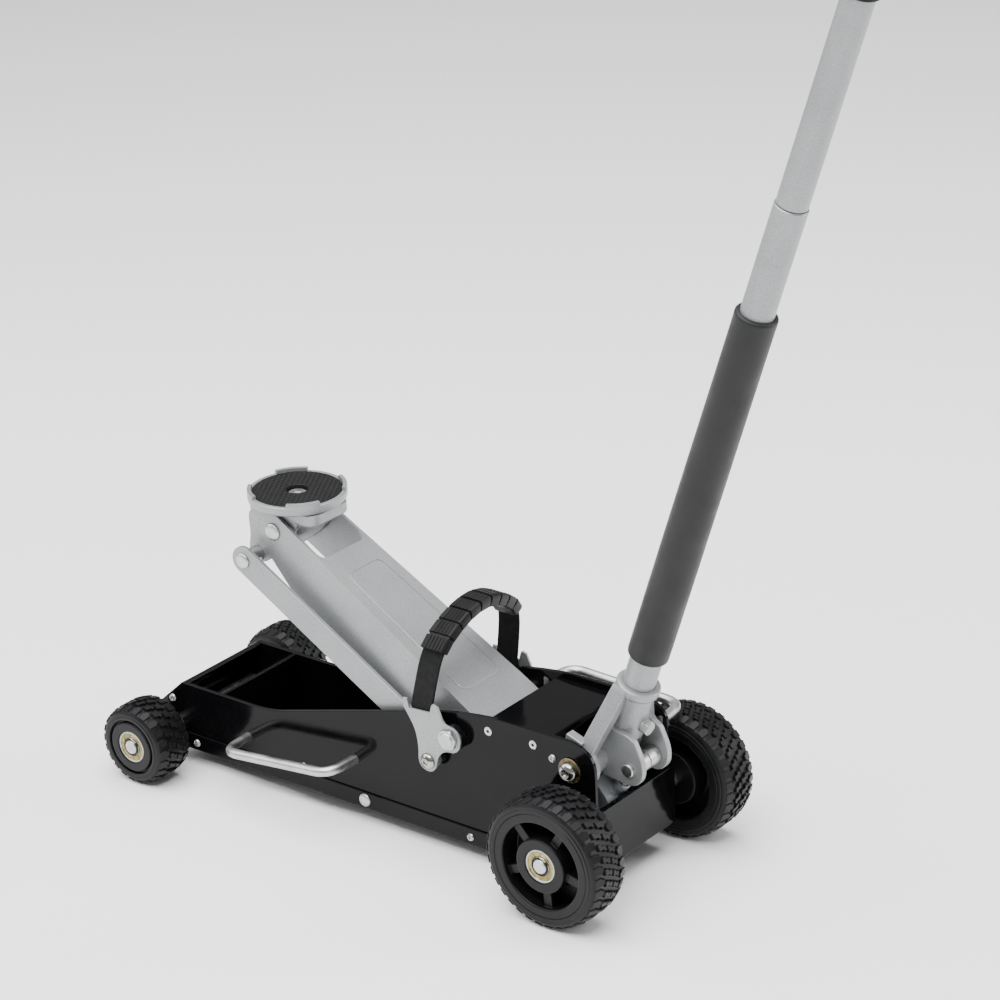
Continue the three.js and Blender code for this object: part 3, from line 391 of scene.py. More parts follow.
# %% Colour and node helpers
def linear(hex_value):
    """sRGB hex to linear RGBA."""
    channels = [int(hex_value[i:i + 2], 16) / 255 for i in (1, 3, 5)]
    return (*[c / 12.92 if c <= 0.04045 else ((c + 0.055) / 1.055) ** 2.4 for c in channels], 1.0)


def add(tree, kind, settings=None, **sockets):
    """Adds one node. Settings are its properties; each socket gets a value, or a link if given an output."""
    node = tree.nodes.new(kind)
    for key, value in (settings or {}).items():
        setattr(node, key, value)
    for key, value in sockets.items():
        socket = node.inputs[int(key[1:])] if key[0] == "_" else node.inputs[key.replace("_", " ")]
        if isinstance(value, bpy.types.NodeSocket):
            tree.links.new(value, socket)
        else:
            socket.default_value = value
    return node


def new_finish(name):
    """An empty material with its shader and its coordinates."""
    material = bpy.data.materials.new(name)
    material.use_nodes = True
    tree = material.node_tree
    tree.nodes.clear()
    shader = add(tree, "ShaderNodeBsdfPrincipled")
    output = add(tree, "ShaderNodeOutputMaterial")
    tree.links.new(shader.outputs["BSDF"], output.inputs["Surface"])
    place = add(tree, "ShaderNodeTexCoord").outputs["Object"]
    return material, tree, shader, place


def millimetres(size):
    """Noise or Voronoi scale whose features are about this many millimetres."""
    return 1 / (size * MM)


def noise(tree, place, size, detail=3.0, roughness=0.5):
    return add(tree, "ShaderNodeTexNoise", Vector=place, Scale=millimetres(size), Detail=detail,
               Roughness=roughness).outputs[0]


def spread(tree, value, low, high, from_low=0.3, from_high=0.7):
    """A pattern value stretched onto a range."""
    return add(tree, "ShaderNodeMapRange", Value=value, From_Min=from_low, From_Max=from_high, To_Min=low,
               To_Max=high).outputs[0]


def tint(tree, value, first, second):
    """A colour between two hex colours."""
    mix = add(tree, "ShaderNodeMix", {"data_type": "RGBA"})
    colour_a, colour_b = [s for s in mix.inputs if s.type == "RGBA"][:2]
    colour_a.default_value, colour_b.default_value = linear(first), linear(second)
    tree.links.new(value, mix.inputs[0])
    return [s for s in mix.outputs if s.type == "RGBA"][0]


def bump(tree, shader, height, depth_mm, strength=1.0, before=None):
    """Raises the surface by a pattern."""
    node = add(tree, "ShaderNodeBump", Height=height, Distance=depth_mm * MM, Strength=strength)
    if before is not None:
        tree.links.new(before, node.inputs["Normal"])
    tree.links.new(node.outputs[0], shader.inputs["Normal"])
    return node.outputs[0]


def drive(tree, shader, **outputs):
    for key, value in outputs.items():
        tree.links.new(value, shader.inputs[key.replace("_", " ")])


# %% [markdown]
# Gloss black powder coat covers the chassis. It is sprayed as a dry powder and melted, which leaves a
# faint orange peel a few millimetres across under a mirror-like skin, so the side bar shows reflected in
# the plate.

# %% Powder coat and enamel
def black_powder_coat():
    material, tree, shader, place = new_finish("black_powder_coat")
    dust = noise(tree, place, 60, 5)
    peel = noise(tree, place, 5.0, 2)
    drive(tree, shader, Base_Color=tint(tree, spread(tree, dust, 0, 1), "#060607", "#0a0a0c"),
          Roughness=spread(tree, dust, 0.07, 0.15))
    bump(tree, shader, peel, 0.02, 0.35)
    shader.inputs["Specular IOR Level"].default_value = 0.11
    shader.inputs["Coat Weight"].default_value = 0.04
    shader.inputs["Coat Roughness"].default_value = 0.04
    return material


# Silver hammertone enamel: aluminium flakes in clear resin that dry into tiny cells with bright rims.
def hammertone_enamel():
    material, tree, shader, place = new_finish("hammertone_enamel")
    flakes = noise(tree, place, 0.9, 2, 0.7)
    clouds = noise(tree, place, 45, 4)
    cells = add(tree, "ShaderNodeTexVoronoi", {"feature": "SMOOTH_F1"}, Vector=place,
                Scale=millimetres(1.5)).outputs["Distance"]
    speck = tint(tree, spread(tree, flakes, 0, 1, 0.35, 0.65), "#828485", "#a3a5a6")
    shade = add(tree, "ShaderNodeMix", {"data_type": "RGBA", "blend_type": "MULTIPLY"})
    shade.inputs[0].default_value = 0.35
    colours = [s for s in shade.inputs if s.type == "RGBA"]
    tree.links.new(speck, colours[0])
    tree.links.new(tint(tree, spread(tree, clouds, 0, 1), "#d4d6d8", "#ffffff"), colours[1])
    drive(tree, shader, Base_Color=[s for s in shade.outputs if s.type == "RGBA"][0],
          Roughness=spread(tree, flakes, 0.36, 0.5))
    bump(tree, shader, cells, 0.05, 0.35)
    shader.inputs["Metallic"].default_value = 0.55
    shader.inputs["Coat Weight"].default_value = 0.15
    shader.inputs["Coat Roughness"].default_value = 0.25
    return material


# %% [markdown]
# Bolts, axles, the side bars and the pump roller are zinc plated: a pale grey metal, evenly dull, with
# the lathe's fine lines just visible. The hydraulic parts are black oxide, which is a thin dark skin on
# steel.

# %% Metals
def zinc_plate():
    material, tree, shader, place = new_finish("zinc_plate")
    smear = noise(tree, place, 14, 5, 0.6)
    lines = noise(tree, place, 0.8, 2)
    drive(tree, shader, Base_Color=tint(tree, spread(tree, smear, 0, 1), "#a9aaa9", "#cbcbca"),
          Roughness=spread(tree, smear, 0.3, 0.46))
    bump(tree, shader, lines, 0.02, 0.25)
    shader.inputs["Metallic"].default_value = 1.0
    return material


def black_oxide():
    material, tree, shader, place = new_finish("black_oxide")
    worn = noise(tree, place, 6, 5, 0.65)
    drive(tree, shader, Base_Color=tint(tree, spread(tree, worn, 0, 1, 0.4, 0.75), "#1a1a1c", "#3d3d40"),
          Roughness=spread(tree, worn, 0.3, 0.5))
    bump(tree, shader, worn, 0.03, 0.3)
    shader.inputs["Metallic"].default_value = 0.9
    return material


# Sand-cast iron under one coat of grey paint keeps the grain of the mould.
def painted_casting():
    material, tree, shader, place = new_finish("painted_casting")
    grain = noise(tree, place, 1.3, 4, 0.6)
    drive(tree, shader, Base_Color=tint(tree, spread(tree, grain, 0, 1), "#6f7376", "#909497"),
          Roughness=spread(tree, grain, 0.45, 0.65))
    bump(tree, shader, grain, 0.12, 0.5)
    shader.inputs["Metallic"].default_value = 0.3
    return material


# Aluminium bronze thrust washers: a brown metal, darkened by handling.
def bronze():
    material, tree, shader, place = new_finish("bronze")
    tarnish = noise(tree, place, 5, 4)
    drive(tree, shader, Base_Color=tint(tree, spread(tree, tarnish, 0, 1), "#4d4436", "#857860"),
          Roughness=spread(tree, tarnish, 0.3, 0.5))
    shader.inputs["Metallic"].default_value = 1.0
    return material


# Chrome steel, for the bearing races and the bright bolt heads, and the yellow chromate that protects the
# pressed shields between the races.
def bearing_steel():
    material, tree, shader, place = new_finish("bearing_steel")
    oil = noise(tree, place, 4, 3)
    drive(tree, shader, Base_Color=tint(tree, spread(tree, oil, 0, 1), "#8b8b87", "#b3b3af"),
          Roughness=spread(tree, oil, 0.12, 0.22))
    shader.inputs["Metallic"].default_value = 1.0
    return material


def yellow_chromate():
    material, tree, shader, place = new_finish("yellow_chromate")
    stain = noise(tree, place, 5, 4)
    drive(tree, shader, Base_Color=tint(tree, spread(tree, stain, 0, 1), "#6f6438", "#a89b66"),
          Roughness=spread(tree, stain, 0.25, 0.4))
    shader.inputs["Metallic"].default_value = 0.9
    return material


# %% [markdown]
# Rubber, foam and webbing are the soft blacks. They differ by grain: moulded rubber is smooth with a
# bloom, foam is a skin of closed cells, and webbing is woven from flat nylon yarns about 1.2 mm wide.

# %% Rubber, foam, webbing
def moulded_rubber(name, dark, pale, rough_low, rough_high, grain_mm):
    material, tree, shader, place = new_finish(name)
    bloom = noise(tree, place, 22, 5, 0.6)
    grain = noise(tree, place, grain_mm, 2)
    drive(tree, shader, Base_Color=tint(tree, spread(tree, bloom, 0, 1), dark, pale),
          Roughness=spread(tree, bloom, rough_low, rough_high))
    bump(tree, shader, grain, 0.06, 0.35)
    shader.inputs["Specular IOR Level"].default_value = 0.2
    return material


def closed_cell_foam():
    material, tree, shader, place = new_finish("closed_cell_foam")
    cells = add(tree, "ShaderNodeTexVoronoi", Vector=place, Scale=millimetres(1.1)).outputs["Distance"]
    scuff = noise(tree, place, 30, 5)
    drive(tree, shader, Base_Color=tint(tree, spread(tree, scuff, 0, 1), "#09090a", "#101012"),
          Roughness=spread(tree, scuff, 0.45, 0.6))
    bump(tree, shader, cells, 0.08, 0.5)
    shader.inputs["Specular IOR Level"].default_value = 0.35
    shader.inputs["Sheen Weight"].default_value = 0.04
    shader.inputs["Sheen Roughness"].default_value = 0.5
    return material


def nylon_webbing():
    material, tree, shader, place = new_finish("nylon_webbing")
    cloth = add(tree, "ShaderNodeUVMap", {"uv_map": "cloth"}).outputs[0]
    split = add(tree, "ShaderNodeSeparateXYZ", Vector=cloth)
    yarn = 1.2
    waves = [add(tree, "ShaderNodeMath", {"operation": "SINE"},
                 _0=add(tree, "ShaderNodeMath", {"operation": "MULTIPLY"}, _0=axis,
                        _1=math.pi / yarn).outputs[0]).outputs[0]
             for axis in (split.outputs[0], split.outputs[1])]
    weave = add(tree, "ShaderNodeMath", {"operation": "MULTIPLY"}, _0=waves[0], _1=waves[1]).outputs[0]
    fuzz = noise(tree, place, 7, 4)
    drive(tree, shader, Base_Color=tint(tree, spread(tree, weave, 0, 1, -1, 1), "#050506", "#121213"),
          Roughness=spread(tree, fuzz, 0.7, 0.9))
    bump(tree, shader, weave, 0.25, 0.7)
    shader.inputs["Specular IOR Level"].default_value = 0.2
    shader.inputs["Sheen Weight"].default_value = 0.03
    return material


BLACK = black_powder_coat()
SILVER = hammertone_enamel()
ZINC = zinc_plate()
OXIDE = black_oxide()
CASTING = painted_casting()
BRONZE = bronze()
RACE = bearing_steel()
SHIELD = yellow_chromate()
TYRE = moulded_rubber("solid_tyre_rubber", "#0b0b0c", "#151517", 0.36, 0.5, 1.4)
HUB = moulded_rubber("moulded_hub_nylon", "#09090a", "#111113", 0.3, 0.42, 2.0)
RUBBER = moulded_rubber("moulded_rubber", "#09090a", "#131314", 0.38, 0.52, 0.9)
FOAM = closed_cell_foam()
WEBBING = nylon_webbing()
FINISHES = (BLACK, SILVER, ZINC, OXIDE, CASTING, BRONZE, RACE, SHIELD, TYRE, HUB, RUBBER, FOAM, WEBBING)
print("finishes:", [m.name for m in FINISHES])

# %% [markdown]
# ## Geometry Nodes for what repeats
#
# Screws, tread lugs, pad studs and grip ribs are each one small shape put in many places. Two node trees
# do it. The first copies a part onto points, each facing its own way. The second sets a part round a
# circle, as lugs stand round a tyre. Both end by making the copies real and giving them their finish, so
# what leaves the tree is a plain mesh.

# %% Node tree: parts on points
def tree_with(name, sockets):
    tree = bpy.data.node_groups.new(name, "GeometryNodeTree")
    for label, kind in sockets.items():
        tree.interface.new_socket(label, in_out="INPUT", socket_type="NodeSocket" + kind)
    tree.interface.new_socket("Result", in_out="OUTPUT", socket_type="NodeSocketGeometry")
    return tree, add(tree, "NodeGroupInput").outputs


def close_tree(tree, instances, finish_socket):
    """Real copies with their finish, out of the tree."""
    real = add(tree, "GeometryNodeRealizeInstances", Geometry=instances).outputs[0]
    done = add(tree, "GeometryNodeSetMaterial", Geometry=real, Material=finish_socket).outputs[0]
    add(tree, "NodeGroupOutput", Result=done)
    return tree


def parts_on_points():
    tree, given = tree_with("parts_on_points", {"Points": "Geometry", "Part": "Object", "Size": "Float",
                                                "Finish": "Material"})
    part = add(tree, "GeometryNodeObjectInfo", {"transform_space": "ORIGINAL"},
               Object=given["Part"]).outputs["Geometry"]
    facing = add(tree, "GeometryNodeInputNamedAttribute", {"data_type": "FLOAT_VECTOR"},
                 Name="facing").outputs["Attribute"]
    turn = add(tree, "FunctionNodeAlignRotationToVector", {"axis": "Z"}, Vector=facing).outputs[0]
    copies = add(tree, "GeometryNodeInstanceOnPoints", Points=given["Points"], Instance=part, Rotation=turn,
                 Scale=given["Size"]).outputs[0]
    return close_tree(tree, copies, given["Finish"])


def parts_round_circle():
    tree, given = tree_with("parts_round_circle", {"Points": "Geometry", "Part": "Object", "Count": "Int",
                                                   "Radius": "Float", "Sideways": "Float",
                                                   "Phase": "Float", "Finish": "Material"})
    def maths(operation, a, b=0.0):
        return add(tree, "ShaderNodeMath", {"operation": operation}, _0=a, _1=b).outputs[0]
    step = maths("ADD", add(tree, "GeometryNodeInputIndex").outputs[0], given["Phase"])
    angle = maths("MULTIPLY", maths("DIVIDE", step, given["Count"]), 2 * math.pi)
    place = add(tree, "ShaderNodeCombineXYZ", X=maths("MULTIPLY", maths("COSINE", angle), given["Radius"]),
                Y=given["Sideways"], Z=maths("MULTIPLY", maths("SINE", angle), given["Radius"])).outputs[0]
    turn = add(tree, "ShaderNodeCombineXYZ", Y=maths("SUBTRACT", math.pi / 2, angle)).outputs[0]
    line = add(tree, "GeometryNodeMeshLine", Count=given["Count"]).outputs[0]
    points = add(tree, "GeometryNodeSetPosition", Geometry=line, Position=place).outputs[0]
    part = add(tree, "GeometryNodeObjectInfo", {"transform_space": "ORIGINAL"},
               Object=given["Part"]).outputs["Geometry"]
    copies = add(tree, "GeometryNodeInstanceOnPoints", Points=points, Instance=part,
                 Rotation=turn).outputs[0]
    return close_tree(tree, copies, given["Finish"])


POINT_TREE, CIRCLE_TREE = parts_on_points(), parts_round_circle()


def grown(tree, base, **inputs):
    """Runs a tree on a scrap object and returns the result as a bmesh."""
    host = loose_object(base)
    modifier = host.modifiers.new("growth", "NODES")
    modifier.node_group = tree
    for socket in tree.interface.items_tree:
        if socket.in_out == "INPUT" and socket.name in inputs:
            modifier[socket.identifier] = inputs[socket.name]
    bm = evaluated_bmesh(host)
    host.modifiers.remove(modifier)
    discard(host)
    return bm


def spots(places):
    """Points for the first tree: (place, facing) pairs."""
    bm = bmesh.new()
    facing = bm.verts.layers.float_vector.new("facing")
    for place, way in places:
        bm.verts.new(place)[facing] = Vector(way)
    return bm


def on_spots(part_bm, places, finish_material, size=1.0):
    part = loose_object(part_bm)
    bm = grown(POINT_TREE, spots(places), Part=part, Size=size, Finish=finish_material)
    discard(part)
    return bm


print("node trees:", [t.name for t in bpy.data.node_groups])

# %% [markdown]
# ## Wheels
#
# The wheels are solid rubber on a moulded hub. The tread is what makes them look ready for gravel: an
# outer row of lugs on each shoulder and two staggered rows of notched blocks between them. Each lug is a
# few faces, set round the tyre by the circle tree, and the bare tyre between them sits three millimetres
# lower, so the lugs cast real shadows.

# %% Tread lugs
TREAD_DEPTH = 3.4
SHOULDER_LUG = ((-1.0, -4.4), (0.36, -5.3), (0.5, -3.2), (1.0, -3.4), (1.0, 2.2), (0.55, 4.6), (-1.0, 4.4))
CENTRE_LUG = ((-1.0, -5.6), (-0.25, -5.2), (-0.1, -2.0), (1.0, -1.4), (1.0, 4.6), (0.35, 5.4),
              (0.15, 2.6), (-1.0, 1.8))


def lug(outline, y0, y1, low, tops, pitch):
    """A tread block. Outline is (across, along), across from -1 to 1; tops are its heights at y0, y1."""
    middle, half, stretch = (y0 + y1) / 2, (y1 - y0) / 2, pitch / 14.2
    bm = bmesh.new()
    rings = []
    for level in (0.0, 0.75, 1.0):
        draw = (1.0, 0.93, 0.84)[(0.0, 0.75, 1.0).index(level)]
        ring = []
        for a, t in outline:
            top = tops[0] + (tops[1] - tops[0]) * (a + 1) / 2
            y = middle + half * a * (draw if level else 1.0)
            ring.append(bm.verts.new((t * stretch * draw, y, low + (top - low) * level)))
        rings.append(ring)
    count = len(outline)
    for under, over in zip(rings, rings[1:]):
        for i in range(count):
            bm.faces.new((under[i], under[(i + 1) % count], over[(i + 1) % count], over[i]))
    bm.faces.new(rings[0])
    bm.faces.new(rings[-1])
    bmesh.ops.recalc_face_normals(bm, faces=bm.faces)
    return bm


def tread(radius, width, count):
    """All lugs of one tyre, around the origin, in millimetres."""
    pitch = 2 * math.pi * radius / count
    low, top, edge = -TREAD_DEPTH - 1.2, -0.35, width / 2
    rows = ((SHOULDER_LUG, -edge + 2.0, -edge + 15.0, (-3.3, top), 0.0),
            (CENTRE_LUG, -edge + 16.6, 0.8, (top, top), 0.5),
            (CENTRE_LUG, 1.8, edge - 16.6, (top, top), 0.05),
            (SHOULDER_LUG, -edge + 2.0, -edge + 15.0, (-3.3, top), 0.55))
    shapes = []
    for row, (outline, y0, y1, tops, phase) in enumerate(rows):
        shape = lug(outline, y0, y1, low, tops, pitch)
        if row == 3:
            mirrored(shape)
        one = loose_object(shape)
        shapes.append(grown(CIRCLE_TREE, bmesh.new(), Part=one, Count=count, Radius=radius, Sideways=0.0,
                            Phase=phase, Finish=TYRE))
        discard(one)
    return joined(*shapes)


# %% [markdown]
# A wheel is a body of revolution, so its tyre and hub are profiles turned about the axle. A modelled half
# section would also do, but a profile is shorter and its steps can be read as radii and depths. Only the
# rear hub has spokes, which are blocks joined to it.

# %% Tyres and hubs
FIRST_SPOKE = 60  # degrees up from straight back


def tyre_profile(radius, width, rim):
    carcass = radius - TREAD_DEPTH
    side = [(rim, 0.4), (rim + 1.5, 0.0), (carcass - 8.5, 0.2), (carcass - 7.4, 1.1),
            (carcass - 6.0, 0.8), (carcass - 3.4, 1.4), (carcass - 1.2, 3.2), (carcass, 7.0)]
    other = [(r, width - h) for r, h in reversed(side)]
    return side + other + [side[0]]


def put_wheel(name, node, x, radius, lugs, rim, hub_profile, spokes=0):
    low, high = corner_mm(node + "_near")
    face, width = -low.y, high.y - low.y
    for side, turn in SIDES:
        body = f"{node}_{side}"
        bm = turned([(r, h - face) for r, h in tyre_profile(radius, width, rim)], (x, 0, radius), steps=96)
        rows = tread(radius, width, lugs)
        bmesh.ops.translate(rows, vec=(x, width / 2 - face, radius), verts=rows.verts)
        finish(f"{body}_tyre", turn(joined(bm, rows)), TYRE, body, replaces=[body])
        hub = turned([(r, h - face) for r, h in hub_profile(width)], (x, 0, radius), steps=96)
        arms = []
        for k in range(spokes):
            arm = block(30.5, rim - 9, -face + 6.5, -face + 30, -5.5, 5.5)
            turned_by = Matrix.Rotation(-math.radians(FIRST_SPOKE + 360 / spokes * k), 3, "Y")
            bmesh.ops.rotate(arm, cent=(0, 0, 0), matrix=turned_by, verts=arm.verts)
            bmesh.ops.translate(arm, vec=(x, 0, radius), verts=arm.verts)
            arms.append(arm)
        finish(f"{body}_hub", turn(worked(hub, joins=arms) if arms else hub), HUB, body,
               round_mm=0.7)
    print(name, "made: two tyres of", lugs * 4, "lugs")
    return face


def front_hub(width):
    return [(10, 14), (20.3, 14), (20.3, 0.5), (21, 0), (30.6, 0), (31.5, 0.9), (31.8, 4.6), (34.2, 4.6),
            (34.9, 0.6), (34.9, width - 1), (34, width), (33, width - 12), (16.5, width - 13),
            (16, width), (10, width), (10, 14)]


def rear_hub(width):
    return [(10, 14), (20.3, 14), (20.3, 0.5), (21, 0), (31.6, 0), (32.5, 0.9), (33.2, 25.5),
            (34.5, 26.5), (50.2, 26.5), (51.4, 25.5), (51.9, 1.2), (53.1, 0), (62.6, 0), (62.9, 0.4),
            (62.9, width), (53.1, width), (51.9, width - 1.2), (51.4, width - 23), (50.2, width - 24),
            (34.5, width - 24), (33.2, width - 23), (32.5, width - 1), (31.6, width), (10, width),
            (10, 14)]


FRONT_FACE = put_wheel("front wheels", "front_wheel", 0.0, FRONT_R, 22, 35.0, front_hub)
REAR_FACE = put_wheel("rear wheels", "rear_wheel", WHEELBASE, REAR_R, 34, 63.0, rear_hub, spokes=5)

# %% [markdown]
# Each wheel turns on a sealed ball bearing. From outside you see the two ground races, the thin pressed
# shield between them with its yellow chromate, and the end of the axle with the snap ring that keeps the
# wheel on.

# %% Bearings, axles and snap rings
def put_bearing(node, x, z, face):
    outer = [(17.4, 1.5), (17.7, 1.2), (19.6, 1.2), (20, 1.6), (20, 13.2), (17.4, 13.2), (17.4, 1.5)]
    inner = [(8.8, 1.6), (9.2, 1.2), (11.3, 1.2), (11.6, 1.5), (11.6, 13.2), (8.8, 13.2), (8.8, 1.6)]
    pressed = [(11.8, 2.3), (12.4, 1.8), (14.2, 1.8), (14.6, 2.2), (16.4, 2.2), (16.8, 1.8), (17.2, 1.8),
               (17.2, 3.0), (11.8, 3.0), (11.8, 2.3)]
    for side, turn in SIDES:
        body = f"{node}_wheel_{side}"
        races = joined(*[turned([(r, h - face) for r, h in p], (x, 0, z), steps=64)
                         for p in (outer, inner)])
        finish(f"{node}_bearing_{side}_races", turn(races), RACE, body, [f"{node}_bearing_{side}"])
        ring = turned([(r, h - face) for r, h in pressed], (x, 0, z), steps=64)
        finish(f"{node}_bearing_{side}_shield", turn(ring), SHIELD, body)


def rod_profile(radius, low, high, chamfer=0.8):
    return [(0, low), (radius - chamfer, low), (radius, low + chamfer), (radius, high - chamfer),
            (radius - chamfer, high), (0, high)]


def put_axle(node, x, z, face):
    low, high = corner_mm(node)
    finish(node, turned(rod_profile(8.5, low.y, high.y), (x, 0, z), steps=48), ZINC, "chassis", [node])
    clip = [(8.5, 0.0), (8.7, -0.1), (10.9, -0.1), (11.1, 0.1), (11.1, 0.9), (10.9, 1.1), (8.5, 1.1),
            (8.5, 0.0)]
    rings = []
    for side, turn in SIDES:
        ring = turned([(r, h - face) for r, h in clip], (x, 0, z), steps=40, arc=305)
        rings.append(turn(ring))
    finish(f"{node}_snap_rings", joined(*rings), OXIDE, "chassis")


for end, x, z, face in (("front", 0.0, FRONT_R, FRONT_FACE), ("rear", WHEELBASE, REAR_R, REAR_FACE)):
    put_bearing(end, x, z, face)
    put_axle(f"{end}_axle", x, z, face)
print("bearings and axles made")

# %% [markdown]
# ## Chassis
#
# Two side plates carry everything. Their top edge starts low at the nose, where the saddle comes down,
# and sweeps up to the shaft and the yoke. They are cut from 5 mm sheet, so an outline with thickness is
# all they need. The tray, the nose panel and the covers are folded sheet: the frame's own shapes with
# their folds and edges rounded.

# %% Side plates and folded sheet
def plate_outline():
    low, high = corner_mm("side_plate_near")
    nose, rear, foot, top = low.x, high.x, low.z, high.z
    front_top, kick = 105.5, WHEELBASE - 46
    return ([(nose + 8, foot), (kick, foot), (rear, foot + 19.2), (rear, top - 32)]
            + bend((rear, top - 32), (rear, top - 4), (rear - 36, top)) + [(500, top - 1)]
            + bend((500, top - 1), (440, top - 5), (372, top - 25.5)) + [(178, front_top + 7.5)]
            + bend((178, front_top + 7.5), (155, front_top), (122, front_top))
            + [(10.5, front_top), (nose, 71), (nose, foot + 8)])


for side, turn in SIDES:
    sheet_metal = plate(plate_outline(), -PLATE_OUT, -PLATE_OUT + PLATE_T)
    finish(f"side_plate_{side}", turn(sheet_metal), BLACK, "chassis", [f"side_plate_{side}"],
           0.7)
for node, edge in (("skid_tray", 0.8), ("front_panel", 1.0), ("front_cross_plate", 0.9),
                   ("top_cover", 1.2)):
    finish(node, from_frame(node), BLACK, "chassis", [node], edge, segments=3)
print("chassis sheet made, plates", round(PLATE_T, 1), "mm thick")

# %% [markdown]
# The side bars are round bar bent cold in a former: two legs, two bends and a rail. A circle carried
# along that path gives them. They double as hand holds, one low at the front of the near side and one
# high at the back of the far side.

# %% Side bars
def circle_section(radius, sides=20):
    return [(radius * math.cos(2 * math.pi * i / sides), radius * math.sin(2 * math.pi * i / sides))
            for i in range(sides)]


def bent_path(corners, radius, steps=10):
    """A path through corners with a bend at each inner one."""
    path = [Vector(corners[0])]
    for before, corner, after in zip(corners, corners[1:], corners[2:]):
        p, a, b = Vector(corner), Vector(before), Vector(after)
        start, end = p + (a - p).normalized() * radius, p + (b - p).normalized() * radius
        path += [start] + [Vector(q) for q in bend(tuple(start), tuple(p), tuple(end), steps)]
    return path + [Vector(corners[-1])]


def side_bar(node, rising):
    low, high = corner_mm(node)
    r = 5.9
    far = low.y > 0
    rail, wall = (high.y - r, low.y) if far else (low.y + r, high.y)
    z0, z1 = (low.z + r, high.z - r) if rising else (high.z - r, low.z + r)
    x0, x1, inset = low.x + r, high.x - r, 4
    slope = (z1 - z0) / (x1 - x0)
    corners = [(x0, wall, z0), (x0 + inset, rail, z0 + inset * slope),
               (x1 - inset, rail, z1 - inset * slope), (x1, wall, z1)]
    bm = swept(circle_section(r), bent_path(corners, 20), up=(0, 0, 1))
    finish(node, bm, ZINC, "chassis", [node])


side_bar("side_bar_near", True)
side_bar("side_bar_far", False)

# %% [markdown]
# ## Bolts, nuts and screws
#
# Heads are turned shapes; a nut is a six-sided prism with its corners turned off. The small screws along
# the plates all share one button head, put at its places by the point tree, each facing out of its own
# plate.

# %% Shaft, nuts and bolts
def hexagon(radius, turn=0.0):
    return [(radius * math.cos(math.radians(60 * i + turn)),
             radius * math.sin(math.radians(60 * i + turn))) for i in range(6)]


def overlap_of(prism, cone):
    """What two shapes share: a hexagon whose corners have been turned off."""
    body, tool = loose_object(prism), loose_object(cone)
    step = body.modifiers.new("chamfer", "BOOLEAN")
    step.operation, step.object, step.solver = "INTERSECT", tool, "EXACT"
    bm = evaluated_bmesh(body)
    discard(body, tool)
    return bm


def nut(x, z, y0, y1, radius, turn=0.0):
    """A hexagon along Y with its corners chamfered."""
    prism = plate([(x + a, z + b) for a, b in hexagon(radius, turn)], y0, y1)
    flat, corner, depth, clear = radius * 0.9, radius * 1.01, 1.6, 0.01
    cone = turned([(0, y0 - clear), (flat, y0 - clear), (corner, y0 + depth), (corner, y1 - depth),
                   (flat, y1 + clear), (0, y1 + clear)], (x, 0, z), steps=48)
    return overlap_of(prism, cone)


def put_shaft():
    low, high = corner_mm("arm_shaft")
    body = turned([(0, low.y), (8.3, low.y), (9.5, low.y + 1.2), (9.5, -PLATE_OUT), (12, -PLATE_OUT),
                   (12, PLATE_OUT), (9.5, PLATE_OUT), (9.5, high.y - 1.2), (8.3, high.y), (0, high.y)],
                  (SHAFT.x, 0, SHAFT.z))
    finish("arm_shaft", body, ZINC, "chassis", ["arm_shaft"])
    bracket = -corner_mm("carry_bracket_near")[0].y
    for side, turn in SIDES:
        a, b = corner_mm("shaft_nut_near")[0].y, corner_mm("shaft_nut_near")[1].y
        finish(f"shaft_nut_{side}", turn(nut(SHAFT.x, SHAFT.z, a, b, 17, 20)), OXIDE, "chassis",
               [f"shaft_nut_{side}"], 0.4)
        outer = nut(SHAFT.x, SHAFT.z, -bracket - 4.4, -bracket - 0.2, 13.2, 8)
        finish(f"shaft_jam_nut_{side}", turn(outer), ZINC, "chassis", round_mm=0.3)


def put_bolt_heads():
    for side, turn in SIDES:
        y0, y1 = corner_mm("link_bolt_near")[0].y, corner_mm("link_bolt_near")[1].y
        button = turned([(0, y0 + 2.2), (3.0, y0 + 2.2), (3.4, y0 + 0.3), (4.6, y0), (7.6, y0 + 1.2),
                         (9.6, y0 + 3.6), (9.6, y0 + 5), (6, y0 + 5), (6, y1), (0, y1)],
                        (LINK_LOW.x, 0, LINK_LOW.z), steps=48)
        finish(f"link_bolt_{side}", turn(button), RACE, "chassis", [f"link_bolt_{side}"],
               0.25)
        y0, y1 = corner_mm("yoke_bolt_near")[0].y, corner_mm("yoke_bolt_near")[1].y
        cap = turned([(0, y0 + 3.6), (4.3, y0 + 3.6), (4.7, y0 + 0.5), (5.4, y0), (8.6, y0 + 1.2),
                      (10.6, y0 + 3.4), (11, y0 + 5), (11, y0 + 8), (8, y0 + 8), (8, y1), (0, y1)],
                     (YOKE.x, 0, YOKE.z), steps=48)
        finish(f"yoke_bolt_{side}", turn(cap), RACE, "chassis", [f"yoke_bolt_{side}"], 0.3)
        y0, y1 = corner_mm("yoke_washer_near")[0].y, corner_mm("yoke_washer_near")[1].y
        ring = turned([(8.3, y0), (14.6, y0), (15, y0 + 0.4), (15, y1), (8.3, y1), (8.3, y0)],
                      (YOKE.x, 0, YOKE.z), steps=56)
        finish(f"yoke_washer_{side}", turn(ring), BRONZE, "chassis", [f"yoke_washer_{side}"])


def put_brace():
    low, high = corner_mm("cross_brace")
    middle = (low + high) / 2
    half = high.y
    dome = [(0, -half), (5.5, -half + 0.3), (7.6, -half + 1.5), (8.2, -half + 3), (6, -half + 3)]
    body = turned(dome + [(r, -h) for r, h in reversed(dome)], (middle.x, 0, middle.z), steps=48)
    finish("cross_brace", body, ZINC, "chassis", ["cross_brace"], 0.25)


put_shaft()
put_bolt_heads()
put_brace()
